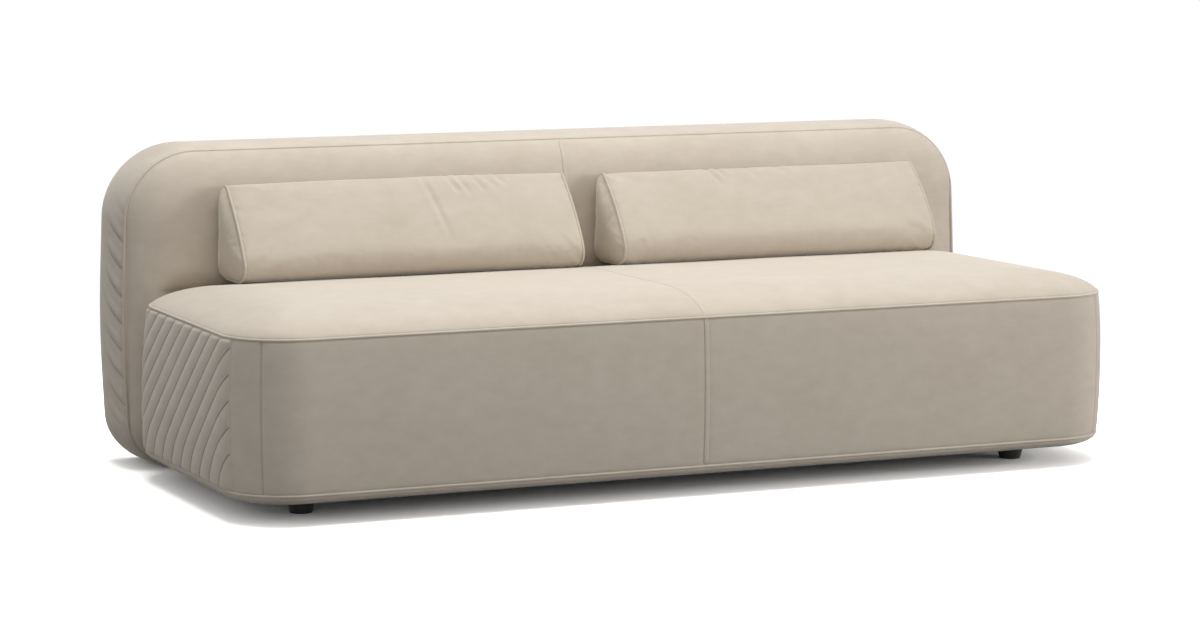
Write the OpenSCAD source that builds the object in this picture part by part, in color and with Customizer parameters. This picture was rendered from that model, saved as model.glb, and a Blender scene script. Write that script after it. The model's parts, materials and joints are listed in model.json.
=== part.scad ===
// Armless two-seat sofa: a low block seat, a tall slab back and two loose wedge bolsters.
// Millimetres, +Z up. The origin is on the floor, under the middle of the sofa's plan.
// The front faces -Y.

/* [Seat] */
// Width of the seat between its side seams
seat_w = 2200; // [1900:10:2500]
// Depth of the seat from its front seam to its rear seam
seat_d = 824; // [740:2:940]
// Height of the piped seam round the top of the seat
seat_seam_h = 412; // [390:1:440]
// Height of the piped seam round the foot of the seat
base_seam_h = 70; // [64:1:84]
// Radius of the seat's upright corners at the seams
seat_corner_r = 150; // [130:2:176]
// Rise of the crowned seat top above its seam
seat_crown = 56; // [36:1:70]
// Distance from the seam over which the seat top rises
seat_crown_run = 225; // [180:5:280]
// Fall of the seat top from the front to the back
seat_fall = 9; // [0:1:16]
// Share of a front corner's turn at which its plain seam stands
corner_seam_share = 0.44; // [0.3:0.01:0.6]
// Outward swell of the seat's upright faces
seat_swell = 15; // [8:1:22]

/* [Back] */
// How far the back's side seams stand out past the seat's
back_side_over = 7; // [2:1:60]
// Height of the seam along the top of the back
back_seam_h = 759; // [700:1:860]
// Height of the seam along the foot of the back
back_foot_seam_h = 14; // [11:1:24]
// Thickness of the back between its front and rear seams
back_t = 190; // [170:1:230]
// Radius of the back's upper corners
back_top_r = 166; // [140:2:200]
// Radius of the back's lower corners
back_foot_r = 100; // [84:2:130]
// Swell of the back's front face above the seat
back_swell = 48; // [30:1:56]
// Distance from the seam over which the back's front face swells
back_swell_run = 130; // [90:5:170]
// Outward swell of the band round the back
band_swell = 14; // [6:1:20]
// Outward swell of the back's rear face
rear_swell = 6; // [2:1:10]

/* [Bolsters] */
// Depth of a bolster from front to rear
bolster_d = 173; // [150:1:190]
// Height of a bolster
bolster_h = 219; // [180:1:250]
// Distance of the left bolster's outer seam from the seat's left seam
left_bolster_inset = 216; // [60:2:300]
// Distance of the right bolster's outer seam from the seat's right seam
right_bolster_inset = 154; // [60:2:300]
// Distance between the inner seams of the bolsters
bolster_gap = 112; // [70:2:200]
// Radius of a bolster's top edge
bolster_top_r = 14; // [10:1:20]
// Radius of a bolster's front foot
bolster_front_r = 50; // [34:1:60]
// Radius of a bolster's rear foot
bolster_rear_r = 20; // [12:1:26]
// Swell of a bolster's sloping front face
bolster_belly = 7; // [3:1:14]
// Swell of a bolster's end panels
bolster_end_swell = 22; // [12:1:30]

/* [Covers and trim] */
// Thickness of the cover fabric with its lining
cover_t = 3; // [2:0.5:4]
// Radius of the piping cord in its fabric
piping_r = 3.5; // [2.5:0.5:4]
// Width of the flat centre welts
welt_w = 11; // [8:1:16]
// Height of a centre welt above the cover
welt_rise = 2.5; // [1.5:0.5:4]
// Distance between the quilting lines along the seat's sides
seat_quilt_pitch = 70; // [55:5:90]
// Distance between the quilting lines up the back's bands
band_quilt_pitch = 65; // [50:5:85]
// Puff of the channels between the quilting lines
quilt_puff = 5; // [2:0.5:7]

/* [Seat frame] */
// Thickness of the foam pads on the seat's upright faces
seat_pad_t = 60; // [56:1:70]
// Thickness of the seat's panel rails
panel_t = 18; // [15:1:24]
// Height of the rails above the dust cover
rail_lift = 8; // [6:1:12]
// Height of the top of the seat frame
deck_h = 300; // [260:5:330]
// Thickness of the ribs that carry the feet
rib_t = 45; // [40:1:60]
// Height of the ribs
rib_h = 160; // [150:2:190]
// Width of a webbing strap
strap_w = 50; // [40:2:60]
// Gap between webbing straps
strap_gap = 45; // [30:1:70]
// Thickness of the webbing
strap_t = 2; // [1.5:0.5:3]
// Thickness of the dust cover under the seat
dust_t = 1.5; // [1:0.5:2.5]

/* [Back frame] */
// Thickness of the foam behind the back's front seam
back_foam_t = 60; // [50:1:72]
// Thickness of the foam pads on the edges of the back
back_edge_t = 60; // [56:1:70]
// Width of the posts and rails of the back
post_w = 45; // [36:1:55]
// Thickness of the board behind the posts
board_t = 4; // [3:0.5:6]

/* [Feet and fixings] */
// Clear height under the seat
foot_h = 45; // [36:1:54]
// Distance of the feet from the seat's side seams
foot_side_inset = 192; // [160:2:280]
// Distance of the feet from the seat's front and rear seams
foot_inset = 186; // [150:2:220]
// Radius of a foot at its top
foot_top_r = 37; // [30:1:44]
// Radius of a foot at the floor
foot_floor_r = 25; // [18:1:30]
// Radius of the studs in the feet
stud_r = 4; // [3:0.5:5]
// How far a stud reaches into its rib
stud_grip = 36; // [25:1:50]
// Radius of the glides under the back
glide_r = 20; // [15:1:26]
// Clear height under the back
glide_h = 6; // [4:1:8]
// Radius of the stems of the glides
stem_r = 5; // [4:0.5:6]
// Thickness of the steel support bars
bar_t = 8; // [6:1:10]
// Height of the support bars
bar_h = 50; // [40:1:60]
// Length of a support bar along its rib
bar_grip = 220; // [180:5:260]
// Radius of the bar bolts
bolt_r = 5; // [4:0.5:6]

/* [Hidden] */

fabric = "#cdbfae";
cord_fabric = "#d9ccbb";
lining = "#2b2a28";
foam = "#e9dfb4";
timber = "#c89f6a";
board = "#7a5a3a";
webbing = "#5b5f64";
steel = "#8f9499";
plastic = "#1d1c1b";
soft_foam = "#f1e9cc";

// Gap between neighbouring soft pieces, and between a shaft and its hole
seam_gap = 0.3;
// Overrun of every cut
cut = 1;
// Steps round a quarter circle of a soft edge
arc_steps = 4;
// Fullness and softness of the curve by which a padded face rises from its seam
crown_fullness = 2.2;
crown_softness = 0.67;
// Shares of a panel at which its rows lie, close together beside the seams
row_shares = [0, 0.03, 0.09, 0.19, 0.34, 0.5, 0.66, 0.81, 0.91, 0.97, 1];
side_row_shares = [0, 0.12, 0.3, 0.5, 0.7, 0.88, 1];

// The sofa is as deep as its two swollen faces, its seat, the squeezed joint and its back
joint_d = 2 * seat_swell;
sofa_d = welt_rise + seat_swell + seat_d + joint_d + back_t + rear_swell;
front_y = welt_rise + seat_swell - sofa_d / 2;
rear_y = front_y + seat_d;
seat_mid_y = (front_y + rear_y) / 2;
back_y = rear_y + joint_d;
back_rear_y = back_y + back_t;
edge_gap = piping_r + seam_gap;
pad_inset = edge_gap + cover_t;

// Runs along the seat's seam from the middle of the front to the middle of the rear
front_run = seat_w / 2 - seat_corner_r;
corner_run = PI / 2 * seat_corner_r;
side_run = seat_d - 2 * seat_corner_r;
front_corner_s = front_run + corner_run * corner_seam_share;
quilt_start_s = front_run + corner_run * 3 / 4;
rear_corner_s = front_run + corner_run * 3 / 2 + side_run;

frame_base_h = foot_h + dust_t;
frame_x = seat_w / 2 - seat_pad_t;
frame_front_y = front_y + seat_pad_t;
frame_rear_y = rear_y - seat_pad_t;
foam_base_h = deck_h + 2 * strap_t + seam_gap;
foot_x = seat_w / 2 - foot_side_inset;
rib_x = foot_x;
bar_x = rib_x - rib_t / 2 - bar_t / 2;
bar_z = frame_base_h + rib_h - bar_h - bolt_r;

back_w = seat_w + 2 * back_side_over;
back_half = back_w / 2;
post_x = back_half - back_edge_t;
post_base_h = back_foot_seam_h + back_edge_t;
post_top_h = back_seam_h - back_edge_t;
post_front_y = back_y + back_foam_t + seam_gap + strap_t;
board_y = back_rear_y - cover_t - seam_gap - board_t;
post_d = board_y - post_front_y;
low_swell = seat_swell - seam_gap;
swell_start_h = seat_seam_h + seat_crown / 3;
swell_full_h = swell_start_h + seat_crown;
foot_swell = back_foot_seam_h - glide_h;

bolster_l = (seat_w - left_bolster_inset - right_bolster_inset - bolster_gap) / 2;
left_bolster_x = (seat_w - bolster_l) / 2 - left_bolster_inset;
right_bolster_x = (seat_w - bolster_l) / 2 - right_bolster_inset;
bolster_front_y = back_y - back_swell - 2 * seam_gap - bolster_d;
bolster_base_h = seam_gap + lookup(bolster_front_y + bolster_front_r,
                                   [for (p = top_column(0, edge_gap, 0)) [p[1], p[2]]]);
bar_end_y = post_front_y + post_d - post_w / 2;
bar_start_y = frame_rear_y - panel_t - bar_grip;

function mix(a, b, t) = a + (b - a) * t;
function mirrored(p) = [-p[0], p[1], p[2]];
function crown(t) =
    t <= 0 ? 0 : t >= 1 ? 1 : pow(1 - pow(1 - t, crown_fullness), crown_softness);

// Distance of a point inside a rounded rectangle from its edge
function inset_at(x, y, w, d, r) =
    let (qx = abs(x) - w / 2 + r, qy = abs(y) - d / 2 + r)
    r - norm([max(qx, 0), max(qy, 0)]) - min(max(qx, qy), 0);

// How far a rounded corner of radius r has fallen back at q past its start
function corner_drop(q, r) = r - sqrt(max(r * r - q * q, 0));

// Height of the seat top, and place of the back's front face
function seat_top(x, y) =
    let (c = crown(inset_at(x, y - seat_mid_y, seat_w, seat_d, seat_corner_r) / seat_crown_run))
    seat_seam_h + c * (seat_crown - seat_fall * (y - front_y) / seat_d);
function free_share(z) = crown(min(1, max(0, (z - swell_start_h) / (swell_full_h - swell_start_h))));
function back_swell_at(z) = mix(low_swell, back_swell, free_share(z));
function back_inset(x, z) =
    let (mid = (back_seam_h + back_foot_seam_h) / 2)
    inset_at(x, z - mid, back_w, back_seam_h - back_foot_seam_h, z > mid ? back_top_r : back_foot_r);
function back_front(x, z) =
    back_y - back_swell_at(z) * crown(back_inset(x, z) / back_swell_run);

// A point at distance s along the seat's seam, out from it by out
function seat_plan(s, out) =
    let (r = seat_corner_r, s1 = s - front_run, s2 = s1 - corner_run, s3 = s2 - side_run,
         s4 = s3 - corner_run)
    s1 <= 0 ? [-s, front_y - out] :
    s2 <= 0 ? let (a = 90 * s1 / corner_run)
        [-front_run - (r + out) * sin(a), front_y + r - (r + out) * cos(a)] :
    s3 <= 0 ? [-seat_w / 2 - out, front_y + r + s2] :
    s4 <= 0 ? let (a = 90 * s3 / corner_run)
        [-front_run - (r + out) * cos(a), rear_y - r + (r + out) * sin(a)] :
    [-front_run + s4, rear_y + out];
function seat_side(s, z, out) = let (p = seat_plan(s, out)) [p[0], p[1], z];
function seat_bulge(z) = seat_swell * sin(180 * (z - base_seam_h) / (seat_seam_h - base_seam_h));

// A point at distance s along the back's outline, from the middle of its foot up the left side
back_foot_run = back_half - back_foot_r;
foot_corner_run = PI / 2 * back_foot_r;
back_side_run = back_seam_h - back_foot_seam_h - back_foot_r - back_top_r;
top_corner_run = PI / 2 * back_top_r;
low_seam_s = back_foot_run + foot_corner_run / 2;
high_seam_s = back_foot_run + foot_corner_run + back_side_run + top_corner_run / 2;
function back_plan(s, out) =
    let (s1 = s - back_foot_run, s2 = s1 - foot_corner_run, s3 = s2 - back_side_run,
         s4 = s3 - top_corner_run, low_r = back_foot_r, top_r = back_top_r)
    s1 <= 0 ? [-s, back_foot_seam_h - out] :
    s2 <= 0 ? let (a = 90 * s1 / foot_corner_run)
        [-back_foot_run - (low_r + out) * sin(a),
         back_foot_seam_h + low_r - (low_r + out) * cos(a)] :
    s3 <= 0 ? [-back_half - out, back_foot_seam_h + low_r + s2] :
    s4 <= 0 ? let (a = 90 * s3 / top_corner_run)
        [-back_half + top_r - (top_r + out) * cos(a), back_seam_h - top_r + (top_r + out) * sin(a)] :
    [-back_half + top_r + s4, back_seam_h + out];
function band_point(s, y, out) = let (p = back_plan(s, out)) [p[0], y, p[1]];
// The band swells less under the foot of the back
function band_swell_at(s) =
    mix(foot_swell, band_swell, min(1, max(0, (s - back_foot_run) / foot_corner_run)));
function band_bulge(s, v) = band_swell_at(s) * pow(sin(180 * v), crown_softness);

// Triangles between two grids of points of m rows and n columns, and round their rim
function grid_faces(m, n, base, turned) = [
    for (i = [0 : m - 2], j = [0 : n - 2])
        let (a = base + i * n + j, b = a + 1, c = a + n, d = c + 1)
        each turned ? [[a, b, c], [b, d, c]] : [[a, c, b], [b, c, d]]
];
function rim(m, n) = concat(
    [for (j = [0 : n - 1]) j],
    [for (i = [1 : m - 1]) i * n + n - 1],
    [for (j = [n - 2 : -1 : 0]) (m - 1) * n + j],
    [for (i = [m - 2 : -1 : 1]) i * n]
);
function rim_faces(loop, base) = [
    for (k = [0 : len(loop) - 1])
        let (a = loop[k], b = loop[(k + 1) % len(loop)])
        each [[a, a + base, b], [b, a + base, b + base]]
];

// A sheet between an outer and an inner grid, whose rows run clockwise as seen from outside
module sheet(outer, inner) {
    m = len(outer);
    n = len(outer[0]);
    polyhedron(
        points = concat([for (row = outer) each row], [for (row = inner) each row]),
        faces = concat(grid_faces(m, n, 0, true), grid_faces(m, n, m * n, false),
                       rim_faces(rim(m, n), m * n)),
        convexity = 6);
}

// A sleeve between outer and inner rings of points, and a solid between two end rings
function ring_faces(m, n, base, turned) = [
    for (i = [0 : m - 2], j = [0 : n - 1])
        let (k = (j + 1) % n, a = base + i * n + j, b = base + i * n + k, c = a + n, d = b + n)
        each turned ? [[a, b, c], [b, d, c]] : [[a, c, b], [b, c, d]]
];
module sleeve(outer, inner) {
    m = len(outer);
    n = len(outer[0]);
    base = m * n;
    last = (m - 1) * n;
    polyhedron(
        points = concat([for (row = outer) each row], [for (row = inner) each row]),
        faces = concat(
            ring_faces(m, n, 0, false), ring_faces(m, n, base, true),
            [for (j = [0 : n - 1]) let (k = (j + 1) % n)
                each [[j, k, base + j], [k, base + k, base + j]]],
            [for (j = [0 : n - 1]) let (k = (j + 1) % n, a = last + j, b = last + k)
                each [[b, a, base + a], [b, base + a, base + b]]]),
        convexity = 6);
}
module loft(rings) {
    m = len(rings);
    n = len(rings[0]);
    polyhedron(
        points = [for (row = rings) each row],
        faces = concat(ring_faces(m, n, 0, false), [[for (j = [0 : n - 1]) j]],
                       [[for (j = [n - 1 : -1 : 0]) (m - 1) * n + j]]),
        convexity = 6);
}

// Blocks with rounded corners: low_r on the two corners at -Y, high_r on those at +Y
module rounded_block(w, d, low_r, high_r, h) {
    low_d = d / 2 - low_r;
    high_d = d / 2 - high_r;
    translate([-w / 2 + low_r, -d / 2, 0]) cube([w - 2 * low_r, d / 2, h]);
    translate([-w / 2 + high_r, 0, 0]) cube([w - 2 * high_r, d / 2, h]);
    translate([-w / 2, -low_d, 0]) cube([w, low_d + high_d, h]);
    for (side = [-1, 1]) {
        translate([side * (w / 2 - low_r), -low_d, 0]) cylinder(r = low_r, h = h, $fn = 64);
        translate([side * (w / 2 - high_r), high_d, 0]) cylinder(r = high_r, h = h, $fn = 64);
    }
}

// A round cord that runs along the edge of such a block
module cord_ring(w, d, low_r, high_r, cord_r) {
    for (side = [-1, 1]) {
        translate([side * (w / 2 - low_r), -d / 2 + low_r, 0])
            rotate([0, 0, side < 0 ? 180 : 270])
                rotate_extrude(angle = 90, $fn = 64) translate([low_r, 0]) circle(cord_r, $fn = 16);
        translate([side * (w / 2 - high_r), d / 2 - high_r, 0])
            rotate([0, 0, side < 0 ? 90 : 0])
                rotate_extrude(angle = 90, $fn = 64) translate([high_r, 0]) circle(cord_r, $fn = 16);
        translate([side * w / 2, -d / 2 + low_r, 0])
            rotate([-90, 0, 0]) cylinder(r = cord_r, h = d - low_r - high_r, $fn = 16);
    }
    translate([-w / 2 + low_r, -d / 2, 0])
        rotate([0, 90, 0]) cylinder(r = cord_r, h = w - 2 * low_r, $fn = 16);
    translate([-w / 2 + high_r, d / 2, 0])
        rotate([0, 90, 0]) cylinder(r = cord_r, h = w - 2 * high_r, $fn = 16);
}

// The places of the feet, the ribs' bolts and the posts' bolts
front_foot_y = front_y + foot_inset;
rear_foot_y = rear_y - foot_inset;
foot_ys = [front_foot_y, rear_foot_y];
rib_bolt_ys = [bar_start_y + 3 * bolt_r, frame_rear_y - panel_t - 3 * bolt_r];
post_bolt_ys = [post_front_y + 4 * bolt_r, bar_end_y - 3 * bolt_r];
glide_y = (back_y + back_rear_y) / 2;
glide_xs = [-foot_x, 0, foot_x];

// The way that the support bars take through rails, pads, foam and covers
module bar_way() {
    for (side = [-1, 1])
        translate([side * bar_x - bar_t / 2 - seam_gap, bar_start_y, bar_z - seam_gap])
            cube([bar_t + 2 * seam_gap, bar_end_y - bar_start_y, bar_h + 2 * seam_gap]);
}

module seat_panel_rail(w, d) {
    base_h = frame_base_h + rail_lift;
    color(timber) translate([-w / 2, -d / 2, base_h]) cube([w, d, deck_h - base_h]);
}

module seat_front_rail() {
    translate([0, frame_front_y + panel_t / 2, 0]) seat_panel_rail(2 * frame_x, panel_t);
}

module seat_rear_rail() {
    color(timber) difference() {
        translate([0, frame_rear_y - panel_t / 2, 0]) seat_panel_rail(2 * frame_x, panel_t);
        bar_way();
    }
}

module seat_side_rail(side) {
    translate([side * (frame_x - panel_t / 2), seat_mid_y, 0])
        seat_panel_rail(panel_t, frame_rear_y - frame_front_y - 2 * panel_t);
}

module seat_left_rail() {
    seat_side_rail(-1);
}

module seat_right_rail() {
    seat_side_rail(1);
}

// Three ribs from the front rail to the rear rail. The outer two take the feet and the bars.
module seat_ribs() {
    color(timber) difference() {
        for (x = [-rib_x, 0, rib_x])
            translate([x - rib_t / 2, frame_front_y + panel_t, frame_base_h])
                cube([rib_t, frame_rear_y - frame_front_y - 2 * panel_t, rib_h]);
        for (side = [-1, 1], y = foot_ys)
            translate([side * foot_x, y, frame_base_h - cut])
                cylinder(r = stud_r + seam_gap, h = stud_grip + 2 * cut, $fn = 32);
        for (side = [-1, 1], y = rib_bolt_ys)
            translate([side * rib_x, y, bar_z + bar_h / 2]) rotate([0, 90, 0])
                cylinder(r = bolt_r + seam_gap, h = rib_t + 2 * cut, center = true, $fn = 32);
    }
}

// Elastic straps from the front rail to the rear rail, and from side to side over them
module seat_webbing() {
    pitch = strap_w + strap_gap;
    cross_count = floor(2 * frame_x / pitch);
    long_count = floor((frame_rear_y - frame_front_y - 2 * panel_t) / pitch);
    color(webbing) {
        for (i = [0 : cross_count - 1])
            translate([(i - (cross_count - 1) / 2) * pitch - strap_w / 2, frame_front_y, deck_h])
                cube([strap_w, frame_rear_y - frame_front_y, strap_t]);
        for (i = [0 : long_count - 1])
            translate([-frame_x, seat_mid_y + (i - (long_count - 1) / 2) * pitch - strap_w / 2,
                       deck_h + strap_t])
                cube([2 * frame_x, strap_w, strap_t]);
    }
}

// Columns of the seat's top panels from the middle to the side, and the rows of one column
function corner_xs(half, r, inset) =
    [for (i = [0 : arc_steps]) half - r + (r - inset) * sin(90 * i / arc_steps)];
function outward_xs(side, xs) =
    side > 0 ? xs : [for (i = [len(xs) - 1 : -1 : 0]) -xs[i]];
function seat_front_edge(x, inset) =
    front_y + inset + corner_drop(max(0, abs(x) - front_run), seat_corner_r - inset);
function seat_rear_edge(x, inset) =
    rear_y - inset - corner_drop(max(0, abs(x) - front_run), seat_corner_r - inset);
function top_column(x, inset, sink) = [
    for (v = row_shares) let (y = mix(seat_front_edge(x, inset), seat_rear_edge(x, inset), v))
        [x, y, seat_top(x, y) - sink]
];
function flat_column(column, z) = [for (p = column) [p[0], p[1], z]];

// The foam block on the webbing, crowned as the seat top is
module seat_foam() {
    half_xs = concat([seat_w / 2 - seat_crown_run], corner_xs(seat_w / 2, seat_corner_r, edge_gap));
    xs = concat(outward_xs(-1, half_xs), [0], half_xs);
    crown_face = [for (x = xs) top_column(x, edge_gap, cover_t + seam_gap)];
    color(foam) sheet(crown_face, [for (column = crown_face) flat_column(column, foam_base_h)]);
}

// A foam pad on one upright face, mitred at the corners of the frame
module seat_pad(outline) {
    color(soft_foam) intersection() {
        translate([0, seat_mid_y, base_seam_h])
            rounded_block(seat_w - 2 * pad_inset, seat_d - 2 * pad_inset, seat_corner_r - pad_inset,
                          seat_corner_r - pad_inset, foam_base_h - seam_gap - base_seam_h);
        translate([0, 0, base_seam_h - cut])
            linear_extrude(foam_base_h - base_seam_h + 2 * cut) polygon(outline);
    }
}

module seat_front_pad() {
    seat_pad([[-seat_w / 2, front_y], [seat_w / 2, front_y],
              [frame_x + seam_gap, frame_front_y - seam_gap],
              [-frame_x - seam_gap, frame_front_y - seam_gap]]);
}

module seat_rear_pad() {
    difference() {
        seat_pad([[-seat_w / 2, rear_y], [seat_w / 2, rear_y],
                  [frame_x + seam_gap, frame_rear_y + seam_gap],
                  [-frame_x - seam_gap, frame_rear_y + seam_gap]]);
        bar_way();
    }
}

module seat_side_pad(side) {
    seat_pad([[side * (seat_w / 2 + seam_gap), front_y + 2 * seam_gap],
              [side * (frame_x + seam_gap), frame_front_y + seam_gap],
              [side * (frame_x + seam_gap), frame_rear_y - seam_gap],
              [side * (seat_w / 2 + seam_gap), rear_y - 2 * seam_gap]]);
}

module seat_left_pad() {
    seat_side_pad(-1);
}

module seat_right_pad() {
    seat_side_pad(1);
}

// Half of the seat's top cover, from the centre welt to the piped seam
module seat_top_cover(side) {
    xs = outward_xs(side, concat([welt_w / 2 + seam_gap, seat_w / 2 - seat_crown_run],
                                 corner_xs(seat_w / 2, seat_corner_r, edge_gap)));
    color(fabric) sheet([for (x = xs) top_column(x, edge_gap, 0)],
                        [for (x = xs) top_column(x, edge_gap, cover_t)]);
}

module seat_left_top_cover() {
    seat_top_cover(-1);
}

module seat_right_top_cover() {
    seat_top_cover(1);
}

// Panels on the seat's upright faces: columns along the seam, rows from top to foot. The
// inside of each panel is flat, so that the wadding in it fills the swell.
seat_panel_top_h = seat_seam_h - edge_gap;
seat_panel_foot_h = base_seam_h + edge_gap;
function panel_z(v) = mix(seat_panel_top_h, seat_panel_foot_h, v);
module seat_panel(ss) {
    sheet([for (s = ss) [for (v = side_row_shares) let (z = panel_z(v)) seat_side(s, z, seat_bulge(z))]],
          [for (s = ss) [for (v = side_row_shares) seat_side(s, panel_z(v), -cover_t)]]);
}
function steps(a, b, n) = [for (i = [0 : n]) mix(a, b, i / n)];

module seat_left_front_cover() {
    color(fabric) seat_panel(concat([welt_w / 2 + seam_gap],
                                    steps(front_run, front_corner_s - seam_gap, arc_steps)));
}

module seat_right_front_cover() {
    mirror([1, 0, 0]) seat_left_front_cover();
}

// The quilted side: slanting lines of stitching, each from the top or front edge down to the
// foot or rear edge, with a puffed channel between two lines. Even numbers are stitched lines.
quilt_slope = 1.06;
quilt_h = seat_panel_top_h - seat_panel_foot_h;
quilt_w = rear_corner_s - seam_gap - quilt_start_s;
quilt_count = max(1, round((quilt_w - quilt_slope * quilt_h) / seat_quilt_pitch));
half_pitch = (quilt_w - quilt_slope * quilt_h) / quilt_count / 2;
first_line = ceil(-quilt_slope * quilt_h / half_pitch + 0.5);
last_line = floor(quilt_w / half_pitch - 0.5);
function quilt_point(i, t, inner) =
    let (u = i * half_pitch,
         drop = mix(max(0, -u / quilt_slope), min(quilt_h, (quilt_w - u) / quilt_slope), t),
         z = seat_panel_top_h - drop,
         puff = abs(i) % 2 * quilt_puff * min(1, 0.4 + 3 * min(t, 1 - t)))
    seat_side(quilt_start_s + u + quilt_slope * drop, z, inner ? -cover_t : seat_bulge(z) + puff);
module quilted_panel() {
    rows = len(side_row_shares);
    lines = [for (i = [first_line : last_line]) i];
    n = len(lines);
    layer = rows * n + 2;
    foot_corner = rows * n;
    top_corner = foot_corner + 1;
    points = [for (inner = [false, true]) each concat(
        [for (i = lines, t = side_row_shares) quilt_point(i, t, inner)],
        [seat_side(quilt_start_s, seat_panel_foot_h, inner ? -cover_t : 0),
         seat_side(quilt_start_s + quilt_w, seat_panel_top_h, inner ? -cover_t : 0)])];
    skin = concat(
        grid_faces(n, rows, 0, true),
        [for (k = [0 : rows - 2]) [foot_corner, k + 1, k]],
        [for (k = [0 : rows - 2]) let (a = (n - 1) * rows + k) [top_corner, a, a + 1]]);
    loop = concat([foot_corner], [for (k = [rows - 1 : rows : rows * n - 1]) k],
                  [top_corner], [for (k = [n - 1 : -1 : 0]) k * rows]);
    polyhedron(
        points = points,
        faces = concat(skin, [for (f = skin) [f[2] + layer, f[1] + layer, f[0] + layer]],
                       rim_faces(loop, layer)),
        convexity = 8);
}

module seat_left_side_cover() {
    color(fabric) {
        seat_panel(steps(front_corner_s + seam_gap, quilt_start_s - seam_gap, arc_steps));
        quilted_panel();
    }
}

module seat_right_side_cover() {
    mirror([1, 0, 0]) seat_left_side_cover();
}

module seat_rear_cover() {
    turn = steps(rear_corner_s + seam_gap, front_run + 2 * corner_run + side_run, arc_steps);
    half_grid = function (flat)
        [for (s = turn) [for (v = side_row_shares) let (z = panel_z(v))
            seat_side(s, z, flat ? -cover_t : seat_bulge(z))]];
    whole_grid = function (flat) let (g = half_grid(flat), n = len(g))
        concat(g, [for (i = [n - 1 : -1 : 0]) [for (p = g[i]) mirrored(p)]]);
    color(fabric) difference() {
        sheet(whole_grid(false), whole_grid(true));
        bar_way();
    }
}

// The band under the foot seam, which tucks in under the pads
base_tuck = seat_pad_t - 2 * seam_gap - dust_t;
base_band_angles = [10, 36, 62, 90];
module seat_base_band() {
    drop = base_seam_h - foot_h;
    half_ss = concat(steps(front_run, front_run + corner_run, arc_steps),
                     steps(front_run + corner_run + side_run,
                           front_run + 2 * corner_run + side_run, arc_steps));
    ring = function (z, out) let (half = [for (s = half_ss) seat_side(s, z, out)], n = len(half))
        concat(half, [for (i = [n - 1 : -1 : 0]) mirrored(half[i])]);
    color(fabric) sleeve(
        [for (a = base_band_angles) ring(base_seam_h - drop * sin(a), -base_tuck * (1 - cos(a)))],
        [for (a = base_band_angles) ring(base_seam_h - (drop - cover_t) * sin(a),
                                         -base_tuck * (1 - cos(a)) - cover_t * cos(a))]);
}

module seat_dust_cover() {
    tuck = base_tuck + cover_t;
    color(lining) difference() {
        translate([0, seat_mid_y, foot_h])
            rounded_block(seat_w - 2 * tuck, seat_d - 2 * tuck, seat_corner_r - tuck,
                          seat_corner_r - tuck, dust_t);
        for (side = [-1, 1], y = foot_ys)
            translate([side * foot_x, y, foot_h - cut])
                cylinder(r = stud_r + seam_gap, h = dust_t + 2 * cut, $fn = 32);
    }
}

module seat_top_piping() {
    color(cord_fabric) translate([0, seat_mid_y, seat_seam_h])
        cord_ring(seat_w, seat_d, seat_corner_r, seat_corner_r, piping_r);
}

module seat_base_piping() {
    color(cord_fabric) translate([0, seat_mid_y, base_seam_h])
        cord_ring(seat_w, seat_d, seat_corner_r, seat_corner_r, piping_r);
}

// The flat welt down the middle of the seat's front and over its top
module seat_centre_welt() {
    face = function (y_in, rise)
        [for (x = [welt_w / 2, -welt_w / 2]) [for (v = side_row_shares) let (z = panel_z(v))
            [x, front_y + y_in - (rise > 0 ? seat_bulge(z) + rise : 0), z]]];
    color(cord_fabric) {
        sheet(face(0, welt_rise), face(cover_t, 0));
        sheet([for (x = [-welt_w / 2, welt_w / 2]) top_column(x, edge_gap, -welt_rise)],
              [for (x = [-welt_w / 2, welt_w / 2]) top_column(x, edge_gap, cover_t)]);
    }
}

// A tapered round foot, with a hole for its stud
foot_hole_d = foot_h * 2 / 3;
module foot(x, y) {
    color(plastic) translate([x, y, 0]) difference() {
        cylinder(r1 = foot_floor_r, r2 = foot_top_r, h = foot_h, $fn = 64);
        translate([0, 0, foot_h - foot_hole_d])
            cylinder(r = stud_r + seam_gap, h = foot_hole_d + cut, $fn = 32);
    }
}

module front_left_foot() {
    foot(-foot_x, front_foot_y);
}

module front_right_foot() {
    foot(foot_x, front_foot_y);
}

module rear_left_foot() {
    foot(-foot_x, rear_foot_y);
}

module rear_right_foot() {
    foot(foot_x, rear_foot_y);
}

module foot_studs() {
    color(steel) for (side = [-1, 1], y = foot_ys)
        translate([side * foot_x, y, foot_h - foot_hole_d])
            cylinder(r = stud_r, h = foot_hole_d + dust_t + stud_grip, $fn = 32);
}

// The back's frame: posts from rail to rail between two end posts
module post(x, base_h, top_h) {
    color(timber) translate([x - post_w / 2, post_front_y, base_h])
        cube([post_w, post_d, top_h - base_h]);
}

module back_left_post() {
    post(post_w / 2 - post_x, post_base_h, post_top_h);
}

module back_right_post() {
    post(post_x - post_w / 2, post_base_h, post_top_h);
}

module back_inner_posts() {
    color(timber) difference() {
        for (side = [-1, 1]) post(side * rib_x, post_base_h + post_w, post_top_h - post_w);
        for (side = [-1, 1], y = post_bolt_ys)
            translate([side * rib_x, y, bar_z + bar_h / 2]) rotate([0, 90, 0])
                cylinder(r = bolt_r + seam_gap, h = post_w + 2 * cut, center = true, $fn = 32);
    }
}

module back_centre_post() {
    post(0, post_base_h + post_w, post_top_h - post_w);
}

module back_rail(z) {
    color(timber) translate([post_w - post_x, post_front_y, z])
        cube([2 * (post_x - post_w), post_d, post_w]);
}

module back_top_rail() {
    back_rail(post_top_h - post_w);
}

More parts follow.
